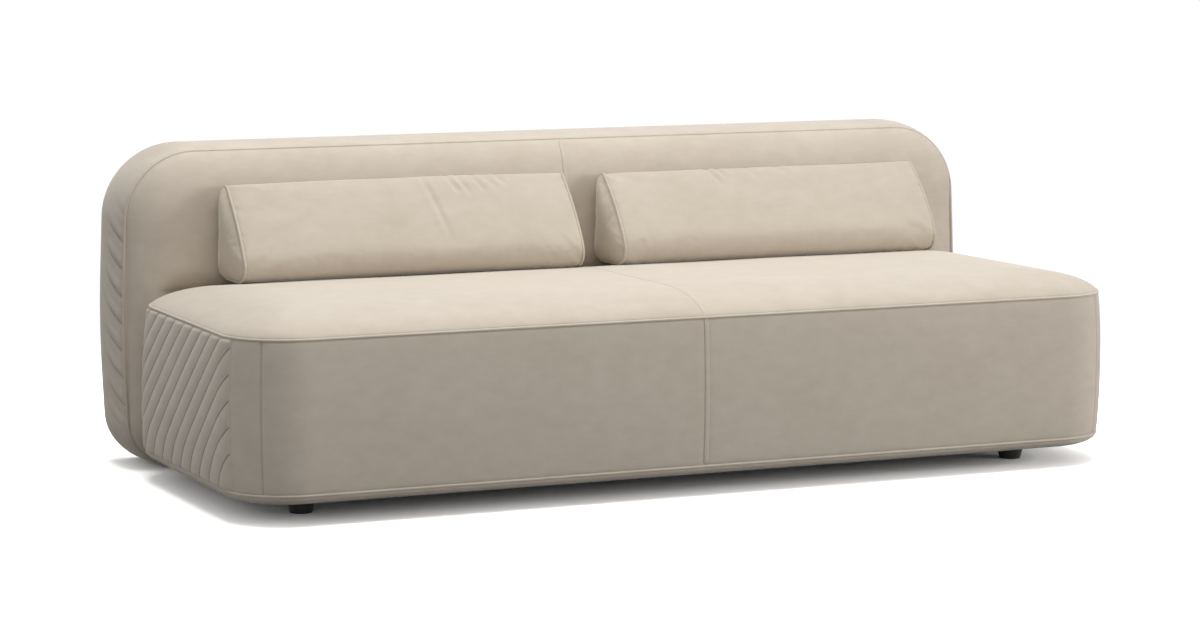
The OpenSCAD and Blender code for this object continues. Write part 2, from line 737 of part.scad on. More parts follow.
module glide_holes(base_h, top_h) {
    for (x = glide_xs)
        translate([x, glide_y, base_h - cut])
            cylinder(r = stem_r + seam_gap, h = top_h - base_h + 2 * cut, $fn = 32);
}

module back_bottom_rail() {
    color(timber) difference() {
        back_rail(post_base_h);
        glide_holes(post_base_h, post_base_h + post_w / 2);
    }
}

// Straps across the front of the posts, above the seat
module back_webbing() {
    pitch = strap_w + strap_gap;
    base_h = seat_seam_h - strap_w;
    count = floor((post_top_h - base_h) / pitch);
    color(webbing) for (i = [0 : count - 1])
        translate([-post_x, post_front_y - strap_t, base_h + i * pitch])
            cube([2 * post_x, strap_t, strap_w]);
}

module back_board() {
    color(board) translate([-post_x, board_y, post_base_h])
        cube([2 * post_x, board_t, post_top_h - post_base_h]);
}

// Columns of the back's front face from foot to top
function back_foot_edge(x, inset) =
    back_foot_seam_h + inset
    + corner_drop(max(0, abs(x) - back_half + back_foot_r), back_foot_r - inset);
function back_top_edge(x, inset) =
    back_seam_h - inset - corner_drop(max(0, abs(x) - back_half + back_top_r), back_top_r - inset);
back_row_shares = [0, 0.02, 0.07, 0.16, 0.34, 0.52, 0.58, 0.65, 0.76, 0.86, 0.94, 0.98, 1];
function back_column(x, inset, sink) = [
    for (v = back_row_shares) let (z = mix(back_foot_edge(x, inset), back_top_edge(x, inset), v))
        [x, back_front(x, z) + sink, z]
];
function back_xs(inset) =
    concat([back_half - back_swell_run * 1.6], corner_xs(back_half, back_top_r, inset));

// The foam in front of the webbing, with the same swell as the cover
module back_foam() {
    half_xs = back_xs(edge_gap);
    xs = concat(outward_xs(-1, half_xs), [0], half_xs);
    face = [for (x = xs) back_column(x, edge_gap, cover_t + seam_gap)];
    color(foam) difference() {
        sheet(face, [for (column = face) [for (p = column) [p[0], back_y + back_foam_t, p[2]]]]);
        bar_way();
    }
}

// Foam pads round the edge of the back, mitred at the corners of the frame
module back_pad(outline) {
    pad_front_y = back_y + back_foam_t + seam_gap;
    pad_rear_y = back_rear_y - cover_t - seam_gap;
    mid_h = (back_seam_h + back_foot_seam_h) / 2;
    color(soft_foam) intersection() {
        translate([0, pad_rear_y, mid_h]) rotate([90, 0, 0])
            rounded_block(back_w - 2 * pad_inset, back_seam_h - back_foot_seam_h - 2 * pad_inset,
                          back_foot_r - pad_inset, back_top_r - pad_inset, pad_rear_y - pad_front_y);
        translate([0, pad_rear_y + cut, 0]) rotate([90, 0, 0])
            linear_extrude(pad_rear_y - pad_front_y + 2 * cut) polygon(outline);
    }
}

module back_side_pad(side) {
    back_pad([[side * (back_half + seam_gap), back_foot_seam_h + 2 * seam_gap],
              [side * (post_x + seam_gap), post_base_h + seam_gap],
              [side * (post_x + seam_gap), post_top_h - seam_gap],
              [side * (back_half + seam_gap), back_seam_h - 2 * seam_gap]]);
}

module back_left_pad() {
    back_side_pad(-1);
}

module back_right_pad() {
    back_side_pad(1);
}

module back_top_pad() {
    back_pad([[-back_half, back_seam_h], [back_half, back_seam_h],
              [post_x + seam_gap, post_top_h + seam_gap],
              [-post_x - seam_gap, post_top_h + seam_gap]]);
}

module back_bottom_pad() {
    difference() {
        back_pad([[-back_half, back_foot_seam_h], [back_half, back_foot_seam_h],
                  [post_x + seam_gap, post_base_h - seam_gap],
                  [-post_x - seam_gap, post_base_h - seam_gap]]);
        glide_holes(0, post_base_h);
    }
}

// Half of the back's front cover, from the centre welt to the piped seam
module back_front_cover(side) {
    xs = outward_xs(side, concat([welt_w / 2 + seam_gap], back_xs(edge_gap)));
    color(fabric) difference() {
        sheet([for (x = xs) back_column(x, edge_gap, 0)],
              [for (x = xs) back_column(x, edge_gap, cover_t)]);
        bar_way();
    }
}

module back_left_front_cover() {
    back_front_cover(-1);
}

module back_right_front_cover() {
    back_front_cover(1);
}

// Lengths of the band between the front and rear seams. Rows run from front to rear, and the
// inside is flat against the pads.
band_row_shares = [0, 0.08, 0.25, 0.5, 0.75, 0.92, 1];
function band_y(v) = mix(back_y + edge_gap, back_rear_y - edge_gap, v);
module band(ss, shift, puffs) {
    outer_row = function (k, v)
        let (s = ss[k] + shift[k] * v)
        band_point(s, band_y(v), band_bulge(s, v) + puffs[k] * pow(sin(180 * v), 2));
    sheet([for (k = [0 : len(ss) - 1]) [for (v = band_row_shares) outer_row(k, v)]],
          [for (k = [0 : len(ss) - 1]) [for (v = band_row_shares)
              band_point(ss[k] + shift[k] * v, band_y(v), -cover_t)]]);
}

// The quilted side bands: lines of stitching that climb from the front seam to the rear
band_slope = 0.5;
module back_left_band() {
    rise = band_slope * back_t;
    start = low_seam_s + foot_corner_run / 2;
    band_lines = 2 * floor((high_seam_s - rise - start) / band_quilt_pitch - 0.3) + 1;
    lines = [for (i = [0 : band_lines - 1]) start + i * band_quilt_pitch / 2];
    foot_ss = steps(low_seam_s + seam_gap, start, arc_steps);
    top_ss = steps(high_seam_s - seam_gap, lines[band_lines - 1], arc_steps + 1);
    ss = concat([for (i = [0 : arc_steps - 1]) foot_ss[i]], lines,
                [for (i = [arc_steps : -1 : 0]) top_ss[i]]);
    shift = rise * concat([for (i = [0 : arc_steps - 1]) i / arc_steps], [for (i = lines) 1],
                          [for (i = [arc_steps : -1 : 0]) i / (arc_steps + 1)]);
    puffs = concat([for (i = [1 : arc_steps]) 0],
                   [for (i = [0 : band_lines - 1]) i % 2 * quilt_puff],
                   [for (i = [0 : arc_steps]) 0]);
    color(fabric) band(ss, shift, puffs);
}

module back_right_band() {
    mirror([1, 0, 0]) back_left_band();
}

// Plain lengths of the band, which start on the left over the back and on the right under it
module plain_band(ss, under) {
    n = len(ss);
    half_grid = function (flat, left) [for (s = ss) [for (v = band_row_shares)
        let (p = band_point(s, band_y(v), flat ? -cover_t : band_bulge(s, v)))
        left ? p : mirrored(p)]];
    whole_grid = function (flat) let (far = half_grid(flat, under))
        concat(half_grid(flat, !under), [for (i = [n - 1 : -1 : 0]) far[i]]);
    sheet(whole_grid(false), whole_grid(true));
}

module back_top_band() {
    color(fabric) plain_band(steps(high_seam_s + seam_gap,
                                   high_seam_s + top_corner_run / 2, arc_steps / 2), false);
}

module back_bottom_band() {
    color(fabric) difference() {
        plain_band(steps(low_seam_s - seam_gap, back_foot_run, arc_steps), true);
        glide_holes(0, post_base_h);
    }
}

module back_rear_cover() {
    xs = corner_xs(back_half, back_top_r, edge_gap);
    face = function (swell) [for (x = concat(outward_xs(-1, xs), xs)) [for (v = side_row_shares)
        let (z = mix(back_top_edge(x, edge_gap), back_foot_edge(x, edge_gap), v))
        [x, back_rear_y + swell * crown(back_inset(x, z) / back_swell_run)
            - (swell > 0 ? 0 : cover_t), z]]];
    color(fabric) sheet(face(rear_swell), face(0));
}

module back_piping(y) {
    color(cord_fabric) translate([0, y, (back_seam_h + back_foot_seam_h) / 2]) rotate([90, 0, 0])
        cord_ring(back_w, back_seam_h - back_foot_seam_h, back_foot_r, back_top_r, piping_r);
}

module back_front_piping() {
    back_piping(back_y);
}

module back_rear_piping() {
    back_piping(back_rear_y);
}

module back_centre_welt() {
    xs = [-welt_w / 2, welt_w / 2];
    color(cord_fabric) sheet(
        [for (x = xs) [for (p = back_column(x, edge_gap, 0)) p - [0, welt_rise * free_share(p[2]), 0]]],
        [for (x = xs) back_column(x, edge_gap, cover_t)]);
}

module back_glides() {
    color(plastic) for (x = glide_xs) translate([x, glide_y, 0]) {
        cylinder(r = glide_r, h = glide_h - seam_gap, $fn = 48);
        cylinder(r = stem_r, h = post_base_h + post_w / 2, $fn = 32);
    }
}

// Steel bars along the ribs and the back's inner posts, which carry the back
module support_bars() {
    color(steel) difference() {
        for (side = [-1, 1])
            translate([side * bar_x - bar_t / 2, bar_start_y, bar_z])
                cube([bar_t, bar_end_y - bar_start_y, bar_h]);
        for (side = [-1, 1], y = concat(rib_bolt_ys, post_bolt_ys))
            translate([side * bar_x, y, bar_z + bar_h / 2]) rotate([0, 90, 0])
                cylinder(r = bolt_r + seam_gap, h = bar_t + 2 * cut, center = true, $fn = 32);
    }
}

module bar_bolts() {
    head_h = bolt_r * 1.3;
    grip = rib_t + bar_t;
    color(steel) for (side = [-1, 1], y = concat(rib_bolt_ys, post_bolt_ys))
        translate([side * (bar_x - bar_t / 2 - head_h), y, bar_z + bar_h / 2])
            rotate([0, side * 90, 0]) {
                cylinder(r = bolt_r * 1.8, h = head_h, $fn = 6);
                cylinder(r = bolt_r, h = head_h + grip, $fn = 32);
            }
}

// A bolster's section: rear foot, top edge, swollen front slope and front foot, as [y, z]
// from its front foot on the seat
function arc(c, r, from, to, n) = [
    for (i = [0 : n]) let (a = mix(from, to, i / n)) [c[0] + r * cos(a), c[1] + r * sin(a)]
];
bolster_top_y = bolster_d - bolster_rear_r - bolster_top_r / 2;
slope_angle = 131;
bolster_section = let (
        foot_arc = arc([bolster_front_r, bolster_front_r], bolster_front_r, slope_angle + 18, 270, 4),
        top_arc = arc([bolster_top_y, bolster_h - bolster_top_r], bolster_top_r, 6, slope_angle, 4),
        high = top_arc[len(top_arc) - 1], low = foot_arc[0], run = low - high,
        out = [run[1], -run[0]] / norm(run))
    concat(arc([bolster_d - bolster_rear_r, bolster_rear_r], bolster_rear_r, 270, 358, 3), top_arc,
           [for (t = [0.2, 0.4, 0.6, 0.8]) high + run * t + out * bolster_belly * sin(180 * t)],
           foot_arc);
bolster_mid = [bolster_d / 2, bolster_h * 0.4];
// A ring of the section at distance x along the bolster, drawn in by the given inset, and
// then pulled towards its middle
function bolster_ring(x, inset, pull = 0) = let (n = len(bolster_section)) [
    for (i = [0 : n - 1])
        let (run = bolster_section[(i + 1) % n] - bolster_section[(i + n - 1) % n],
             p = bolster_section[i] - inset * [run[1], -run[0]] / norm(run),
             q = p - bolster_mid, r = q * (1 - pull / norm(q)))
        [x, r[0] + bolster_mid[0], r[1] + bolster_mid[1]]
];
// A bolster is drawn in towards its end seams
end_draw = bolster_top_r / 4;
bolster_shares = [0, 0.04, 0.14, 0.5, 0.86, 0.96, 1];
function draw_at(t) = end_draw * (1 - crown(min(t, 1 - t) * 6));
module at_bolster(x) {
    translate([x - bolster_l / 2, bolster_front_y, bolster_base_h]) children();
}

// Shares of an end panel's swell, and how far the panel is pulled in there
bolster_dome = [[1, 1.6 * bolster_end_swell], [0.86, 0.8 * bolster_end_swell],
                [0.5, 0.25 * bolster_end_swell], [0, 0]];
function dome_ring(k, base, gap = 0) =
    bolster_ring(base - bolster_dome[k][0] * bolster_end_swell, end_draw + edge_gap + gap,
                 bolster_dome[k][1]);
function from_far_end(ring) = [for (p = ring) [bolster_l - p[0], p[1], p[2]]];

// The foam core fills the sleeve and both end panels
module bolster_core() {
    skin = cover_t + 2 * seam_gap;
    dome_gap = cover_t;
    color(foam) loft(concat(
        [for (k = [0 : len(bolster_dome) - 1]) dome_ring(k, skin, dome_gap)],
        [for (t = bolster_shares)
            bolster_ring(mix(edge_gap + skin, bolster_l - edge_gap - skin, t), draw_at(t) + skin)],
        [for (k = [len(bolster_dome) - 1 : -1 : 0]) from_far_end(dome_ring(k, skin, dome_gap))]));
}

module bolster_cover() {
    rings = function (skin) [for (t = bolster_shares)
        bolster_ring(mix(edge_gap, bolster_l - edge_gap, t), draw_at(t) + skin)];
    color(fabric) {
        sleeve(rings(0), rings(cover_t));
        bolster_end_panel();
        translate([bolster_l, 0, 0]) mirror([1, 0, 0]) bolster_end_panel();
    }
}

// An end panel is a swollen skin inside the piping
module bolster_end_panel() {
    loft(concat([for (k = [0 : len(bolster_dome) - 1]) dome_ring(k, 0)],
                [for (k = [len(bolster_dome) - 1 : -1 : 0]) dome_ring(k, cover_t)]));
}

// Piping round both ends of a bolster
module bolster_piping() {
    centres = bolster_ring(0, end_draw);
    n = len(centres);
    sides = 6;
    ring_at = function (k)
        let (p = centres[k], along = centres[(k + 1) % n] - centres[(k + n - 1) % n],
             out = [0, along[2], -along[1]] / norm(along))
        [for (i = [0 : sides - 1]) let (a = 360 * i / sides)
            p + piping_r * (out * cos(a) + [-sin(a), 0, 0])];
    rings = [for (k = [0 : n - 1]) ring_at(k)];
    color(cord_fabric) for (x = [0, bolster_l]) translate([x, 0, 0])
        polyhedron(points = [for (r = rings) each r],
                   faces = [for (k = [0 : n - 1], i = [0 : sides - 1])
                       let (a = k * sides + i, b = k * sides + (i + 1) % sides,
                            c = (k + 1) % n * sides + i, d = (k + 1) % n * sides + (i + 1) % sides)
                       each [[a, c, b], [b, c, d]]],
                   convexity = 6);
}

module left_bolster_core() {
    at_bolster(-left_bolster_x) bolster_core();
}

module left_bolster_cover() {
    at_bolster(-left_bolster_x) bolster_cover();
}

module left_bolster_piping() {
    at_bolster(-left_bolster_x) bolster_piping();
}

module right_bolster_core() {
    at_bolster(right_bolster_x) bolster_core();
}

module right_bolster_cover() {
    at_bolster(right_bolster_x) bolster_cover();
}

module right_bolster_piping() {
    at_bolster(right_bolster_x) bolster_piping();
}

seat_front_rail();
seat_rear_rail();
seat_left_rail();
seat_right_rail();
seat_ribs();
seat_webbing();
seat_foam();
seat_front_pad();
seat_rear_pad();
seat_left_pad();
seat_right_pad();
seat_left_top_cover();
seat_right_top_cover();
seat_left_front_cover();
seat_right_front_cover();
seat_left_side_cover();
seat_right_side_cover();
seat_rear_cover();
seat_base_band();
seat_dust_cover();
seat_top_piping();
seat_base_piping();
seat_centre_welt();
front_left_foot();
front_right_foot();
rear_left_foot();
rear_right_foot();
foot_studs();
back_left_post();
back_right_post();
back_inner_posts();
back_centre_post();
back_top_rail();
back_bottom_rail();
back_webbing();
back_board();
back_foam();
back_left_pad();
back_right_pad();
back_top_pad();
back_bottom_pad();
back_left_front_cover();
back_right_front_cover();
back_left_band();
back_right_band();
back_top_band();
back_bottom_band();
back_rear_cover();
back_front_piping();
back_rear_piping();
back_centre_welt();
back_glides();
support_bars();
bar_bolts();
left_bolster_core();
left_bolster_cover();
left_bolster_piping();
right_bolster_core();
right_bolster_cover();
right_bolster_piping();
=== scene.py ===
import json
import math

import bmesh
import bpy
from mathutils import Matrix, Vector, noise


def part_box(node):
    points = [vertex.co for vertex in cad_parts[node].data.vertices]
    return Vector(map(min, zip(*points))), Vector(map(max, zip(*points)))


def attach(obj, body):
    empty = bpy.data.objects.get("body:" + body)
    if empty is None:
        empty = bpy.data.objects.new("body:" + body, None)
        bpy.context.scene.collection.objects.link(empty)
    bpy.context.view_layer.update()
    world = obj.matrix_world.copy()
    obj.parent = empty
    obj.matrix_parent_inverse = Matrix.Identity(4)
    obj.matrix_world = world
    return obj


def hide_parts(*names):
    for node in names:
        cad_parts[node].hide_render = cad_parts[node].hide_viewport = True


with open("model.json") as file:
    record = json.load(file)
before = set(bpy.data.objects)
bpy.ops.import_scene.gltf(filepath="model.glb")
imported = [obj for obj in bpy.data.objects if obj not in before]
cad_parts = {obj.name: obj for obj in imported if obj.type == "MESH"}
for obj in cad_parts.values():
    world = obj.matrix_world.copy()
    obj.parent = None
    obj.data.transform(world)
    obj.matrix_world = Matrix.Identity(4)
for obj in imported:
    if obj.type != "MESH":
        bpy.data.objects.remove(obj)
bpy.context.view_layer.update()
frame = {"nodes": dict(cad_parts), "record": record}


# The photograph's view: a long lens, a little above the sofa and off to its left, looking
# slightly down and to the right.
camera_data = bpy.data.cameras.new("camera")
camera_data.lens = 105.5
camera = bpy.data.objects.new("camera", camera_data)
camera.location = (-3.402, -7.661, 1.429)
camera.rotation_euler = [math.radians(angle) for angle in (82.61, 0, -23.72)]
bpy.context.scene.collection.objects.link(camera)
bpy.context.scene.camera = camera
bpy.context.scene.view_settings.view_transform = "Standard"


# The studio light: one broad soft panel overhead, a lower one in front and to the right, two
# faint ones to the left, and an even pale surround that the camera sees as white.
class Wire:
    """A value in a shader, on which arithmetic adds Math nodes to the same tree."""

    def __init__(self, tree, socket=None):
        self.tree = tree
        self.socket = socket

    def node(self, kind, settings=None, inputs=None, output=0):
        made = self.tree.nodes.new("ShaderNode" + kind)
        for name, value in (settings or {}).items():
            setattr(made, name, value)
        for name, value in (inputs or {}).items():
            if isinstance(value, Wire):
                self.tree.links.new(value.socket, made.inputs[name])
            else:
                made.inputs[name].default_value = value
        return Wire(self.tree, made.outputs[output] if made.outputs else None)

    def math(self, operation, *values, clamp=False):
        settings = {"operation": operation, "use_clamp": clamp}
        return self.node("Math", settings, dict(enumerate(values)))

    def __add__(self, other):
        return self.math("ADD", self, other)

    __radd__ = __add__

    def __sub__(self, other):
        return self.math("SUBTRACT", self, other)

    def __rsub__(self, other):
        return self.math("SUBTRACT", other, self)

    def __mul__(self, other):
        return self.math("MULTIPLY", self, other)

    __rmul__ = __mul__

    def mix(self, low, high):
        """The colour between low and high, with this value as the share of high."""
        return self.node("Mix", {"data_type": "RGBA"}, {0: self, 6: low, 7: high}, 2)

    def noise(self, scale, detail=2.0, stretch=(1, 1, 1)):
        spread = self.node("Mapping", None, {"Vector": self, "Scale": stretch})
        return self.node("TexNoise", None, {"Vector": spread, "Scale": scale, "Detail": detail})

    def to_view(self):
        """How far the ray comes straight from the camera, a mirror or a pane."""
        seen = [self.node("LightPath", None, None, "Is %s Ray" % ray)
                for ray in ("Camera", "Glossy", "Transmission")]
        return self.math("MAXIMUM", seen[0], self.math("MAXIMUM", seen[1], seen[2]))


def blank_tree(owner):
    """Empties the node tree of a material or the world and gives the Wire that starts it."""
    owner.use_nodes = True
    owner.node_tree.nodes.clear()
    return Wire(owner.node_tree)


def soft_panel(name, place, target, size, power):
    """A warm rectangular lamp at a place, turned to a target."""
    lamp = bpy.data.lights.new(name, "AREA")
    lamp.shape = "RECTANGLE"
    lamp.size, lamp.size_y = size
    lamp.energy = power
    lamp.color = (1, 0.985, 0.965)
    panel = bpy.data.objects.new(name, lamp)
    panel.location = place
    panel.rotation_euler = (Vector(place) - Vector(target)).to_track_quat("Z", "Y").to_euler()
    bpy.context.scene.collection.objects.link(panel)


soft_panel("overhead_panel", (-0.3, -0.45, 4.1), (-0.2, 0.0, 0.3), (3.4, 2.8), 129)
soft_panel("front_panel", (4.6, -3.2, 1.3), (0.2, 0.0, 0.3), (2.0, 1.4), 116)
soft_panel("left_panel", (-4.9, -1.2, 1.9), (-0.3, 0.0, 0.4), (2.4, 1.8), 14)
soft_panel("fill_panel", (-2.0, -5.6, 1.8), (0.0, 0.0, 0.4), (2.4, 1.6), 14)

seen_white = 1.02
world = bpy.data.worlds.new("studio")
bpy.context.scene.world = world
sky = blank_tree(world)
dim_sky = sky.node("Background", None, {"Color": (0.97, 1, 1.03, 1), "Strength": 0.41})
white_sky = sky.node("Background", None, {"Color": (1, 1, 1, 1), "Strength": seen_white})
sky_mix = sky.node("MixShader", None, {0: sky.to_view(), 1: dim_sky, 2: white_sky})
sky.node("OutputWorld", None, {"Surface": sky_mix})


# The studio floor is white to the camera and keeps the sofa's shadow, and sends back only
# the light that a grey floor would.
floor_half = 30
shadow_reach = 1.7
floor_mesh = bpy.data.meshes.new("floor")
floor_shape = bmesh.new()
bmesh.ops.create_grid(floor_shape, x_segments=1, y_segments=1, size=floor_half)
floor_shape.to_mesh(floor_mesh)
floor_shape.free()
floor = bpy.data.objects.new("floor", floor_mesh)
bpy.context.scene.collection.objects.link(floor)

floor_paint = bpy.data.materials.new("floor_paint")
paint = blank_tree(floor_paint)
grey = paint.node("BsdfDiffuse", None, {"Color": (0.20, 0.20, 0.20, 1)})
white = paint.node("BsdfDiffuse", None, {"Color": (1.16, 1.14, 1.12, 1)})
near = paint.node("AddShader", None, {0: white, 1: white})
far = paint.node("Emission", None, {"Color": (1, 1, 1, 1), "Strength": seen_white})
spot = paint.node("TexCoord", None, None, "Object")
reach = spot.node("VectorMath", {"operation": "LENGTH"}, {0: spot}, 1)
fade = paint.math("SUBTRACT", reach, shadow_reach, clamp=True)
bright = paint.node("MixShader", None, {0: fade, 1: near, 2: far})
both = paint.node("MixShader", None, {0: paint.to_view(), 1: grey, 2: bright})
paint.node("OutputMaterial", None, {"Surface": both})
floor_mesh.materials.append(floor_paint)


# The seat block: foam on webbing in a panel frame, with a crowned top, swollen upright faces
# and a band that curves in under the foot seam. The cover is beige velour, quilted in slanting
# channels along the sides and sewn with a plain seam at each front corner.
velour_dark = (0.540, 0.472, 0.390)
velour_light = (0.612, 0.543, 0.460)
# The colour towards which painted shade darkens the velour in seams, creases and stitched
# grooves.
velour_shade = (0.215, 0.175, 0.130)
stitches_per_m = 220.0
stitch_break = 0.14


def velour(name, tint=(1, 1, 1)):
    """Cover fabric: short nap with cloudy patches, with painted shade in seams and creases, in
    the stitched grooves and on the stitches.
    """
    material = bpy.data.materials.new(name)
    start = blank_tree(material)
    place = start.node("TexCoord", None, None, "Object")
    clouds = place.noise(5.0, 3.0)
    patches = place.noise(21.0, 5.0, (1, 1, 1.6))
    brushed = place.noise(70.0, 4.0, (0.5, 0.5, 1.6))
    nap = place.noise(900.0, 2.0)
    painted_shade = start.node("Attribute", {"attribute_name": "painted_shade"}, None, "Fac")
    sewn = start.node("Attribute", {"attribute_name": "sewn"}, None, "Vector")
    line = sewn.node("SeparateXYZ", None, {0: sewn}, "X")
    along = sewn.node("SeparateXYZ", None, {0: sewn}, "Y")
    here = sewn.node("SeparateXYZ", None, {0: sewn}, "Z")
    off_line = start.math("ABSOLUTE", start.math("FRACT", line + 0.5) - 0.5)
    stitch_gap = start.math("ABSOLUTE", start.math("FRACT", along * stitches_per_m) - 0.5)
    # Painted shade along each stitched groove, which also dents the bump; the dashed stitches get
    # painted shade too.
    groove = start.math("SUBTRACT", 1.0, off_line * 15.0, clamp=True) * here
    thread = start.math("SUBTRACT", 1.0, off_line * 24.0, clamp=True) * here
    stitches = thread * start.math("GREATER_THAN", stitch_gap, stitch_break)
    share = (clouds - 0.5) * 0.9 + (patches - 0.5) * 1.3 + (brushed - 0.5) * 0.5 + 0.5
    dark, light, deep = ([c * t for c, t in zip(colour, tint)] + [1]
                         for colour in (velour_dark, velour_light, velour_shade))
    cloth = start.math("ADD", share, 0.0, clamp=True).mix(dark, light)
    # Painted shade: the cloth darkens towards the shade colour where the mesh's shade attribute
    # marks seams, creases and cord edges, and in the grooves.
    shaded_cloth = start.math("ADD", painted_shade * 0.36, groove * 0.66, clamp=True).mix(cloth, deep)
    threaded = (stitches * 0.90).mix(shaded_cloth, deep)
    height = nap * 0.00012 + brushed * 0.0003 - groove * 0.0012 - thread * 0.0006
    bump = start.node("Bump", None, {"Strength": 0.6, "Distance": 1.0, "Height": height})
    skin = start.node("BsdfPrincipled", None, {
        "Base Color": threaded, "Roughness": 0.92 - patches * 0.12, "Normal": bump,
        "Specular IOR Level": 0.18, "Sheen Weight": 0.50, "Sheen Roughness": 0.45,
        "Sheen Tint": (1.0, 0.95, 0.88, 1)})
    start.node("OutputMaterial", None, {"Surface": skin})
    return material


beside_seam = (0, 0.0025, 0.005, 0.009)
least_step = 0.0012
weld_gap = 0.00005


def stations(length, step, seams=()):
    """Places from 0 to length, a step apart and closer together beside each seam."""
    count = round(length / step)
    marks = [length * i / count for i in range(count + 1)]
    marks += [seam + side * gap for seam in seams for gap in beside_seam for side in (-1, 1)]
    chosen = [0.0]
    for mark in sorted(marks):
        if mark - chosen[-1] > least_step and length - mark > least_step:
            chosen.append(mark)
    return chosen + [length]


def fold_grid(name, across, along, place):
    """A flat grid of cloth bent into a closed form. place(a, b) gives a corner's point, the
    painted shade there and what is sewn there."""
    shape = bmesh.new()
    bmesh.ops.create_grid(shape, x_segments=len(across) - 1, y_segments=len(along) - 1, size=0.5)
    painted_shade = shape.verts.layers.float.new("painted_shade")
    sewn = shape.verts.layers.float_vector.new("sewn")
    for vert in shape.verts:
        a = across[round((vert.co.x + 0.5) * (len(across) - 1))]
        b = along[round((vert.co.y + 0.5) * (len(along) - 1))]
        vert.co, vert[painted_shade], vert[sewn] = place(a, b)
    bmesh.ops.remove_doubles(shape, verts=shape.verts, dist=weld_gap)
    bmesh.ops.recalc_face_normals(shape, faces=shape.faces)
    for face in shape.faces:
        face.smooth = True
    mesh = bpy.data.meshes.new(name)
    shape.to_mesh(mesh)
    shape.free()
    piece = bpy.data.objects.new(name, mesh)
    bpy.context.scene.collection.objects.link(piece)
    return piece


def dress(piece, body, material, slot, *nodes):
    """Gives a piece its material and body, and hides the CAD nodes that it stands for. Its slot
    is not used.
    """
    piece.data.materials.append(material)
    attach(piece, body)
    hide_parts(*nodes)


def ease(low, high, value):
    """From 0 at low to 1 at high, smooth at both ends."""
    share = min(1.0, max(0.0, (value - low) / (high - low)))
    return share * share * (3 - 2 * share)


def hump(value, width):
    """From 1 at 0 down to nothing within about two widths."""
    return math.exp(-(value / width) ** 2)


def crown(share):
    """Rise of a padded face from its seam, from 0 to 1."""
    return (1 - (1 - min(1.0, max(0.0, share))) ** 2.2) ** 0.67


def inset_at(x, y, half_x, half_y, radius):
    """Distance of a point inside a rounded rectangle from its edge."""
    over_x = abs(x) - half_x + radius
    over_y = abs(y) - half_y + radius
    return (radius - math.hypot(max(over_x, 0), max(over_y, 0))
            - min(max(over_x, over_y), 0))


cord_r = 0.0035
cord_sink = 0.0010
seam_dip = 0.0024
seam_width = 0.0045
# How dark the painted shade beside each seam is.
seam_painted_shade = 0.32
seam_shade = 0.004
seat_corner_r = 0.150
seat_crown = 0.056
seat_fall = 0.009
crown_run = 0.225
seat_swell = 0.009
seat_rear_swell = 0.015
foot_flare = 0.013
under_tuck = 0.058
corner_seam_share = 0.44
quilt_share = 0.77
corner_seam_dip = 0.0024
corner_seam_width = 0.0022
ditch_dip = 0.0010
ditch_width = 0.010
border_dip = 0.0008
border_width = 0.006
under_welt_dip = 0.0014
under_welt_width = 0.010
wall_slack = 0.0007
top_slack = 0.0011
top_join_dip = 0.0005
join_width = 0.012
top_cord_low, top_cord_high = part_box("seat_top_piping")
foot_cord_low, foot_cord_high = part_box("seat_base_piping")
dust_low, dust_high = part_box("seat_dust_cover")
seat_half = top_cord_high.x - cord_r
seat_front = top_cord_low.y + cord_r
seat_rear = top_cord_high.y - cord_r
seat_mid = (seat_front + seat_rear) / 2
seat_depth = seat_rear - seat_front
seam_z = (top_cord_low.z + top_cord_high.z) / 2
foot_seam_z = (foot_cord_low.z + foot_cord_high.z) / 2
seat_mid_z = (seam_z + foot_seam_z) / 2
front_run = seat_half - seat_corner_r
corner_run = math.pi / 2 * seat_corner_r
side_run = seat_depth - 2 * seat_corner_r
half_loop = 2 * (front_run + corner_run) + side_run
corner_seam_s = front_run + corner_run * corner_seam_share
quilt_s = front_run + corner_run * quilt_share
rear_corner_s = half_loop - front_run - corner_run / 2
quilt_end_s = rear_corner_s
quilt_slope = 1.14
quilt_bend = 4.3
quilt_bend_z = 0.160
quilt_pitch = 0.0665
quilt_start = 0.187
quilt_puff = 0.0045
quilt_top_z = 0.405


def foot_spread(s):
    """How much wider the seat's foot is than its top seam, growing towards the rear corners."""
    half_s = min(s, 2 * half_loop - s)
    return foot_flare * ease(front_run, rear_corner_s, half_s) * ease(
        half_loop - front_run + 0.05, rear_corner_s, half_s)


def seat_edge(s, out):
    """Point s round the seat's seam line from the middle of the front, moved outwards."""
    side = -1
    if s > half_loop:
        s = 2 * half_loop - s
        side = 1
    r = seat_corner_r + out
    turn = (s - front_run) / seat_corner_r
    if s <= front_run:
        x, y = s, seat_front - out
    elif s <= front_run + corner_run:
        x = front_run + r * math.sin(turn)
        y = seat_front + seat_corner_r - r * math.cos(turn)
    elif s <= front_run + corner_run + side_run:
        x, y = seat_half + out, seat_front + seat_corner_r + s - front_run - corner_run
    elif s <= half_loop - front_run:
        turn = (s - front_run - corner_run - side_run) / seat_corner_r
        x = front_run + r * math.cos(turn)
        y = seat_rear - seat_corner_r + r * math.sin(turn)
    else:
        x, y = half_loop - s, seat_rear + out
    return side * x, y


def quilt_at(s, z):
    """The stitched line's number at a place on the side, the place along it, and how far
    the quilting holds there."""
    s = min(s, 2 * half_loop - s)
    if not quilt_s < s < quilt_end_s:
        return 0.0, 0.0, 0.0
    drop = quilt_top_z - z
    lean = quilt_slope * drop - quilt_bend * max(0.0, quilt_bend_z - z) ** 2
    line = (s - quilt_s - lean - quilt_start) / quilt_pitch
    edge = min(s - quilt_s, quilt_end_s - s, seam_z - z, z - foot_seam_z)
    return line, math.hypot(s - quilt_s, drop) * 0.7 + s * 0.3, ease(0.001, 0.009, edge)


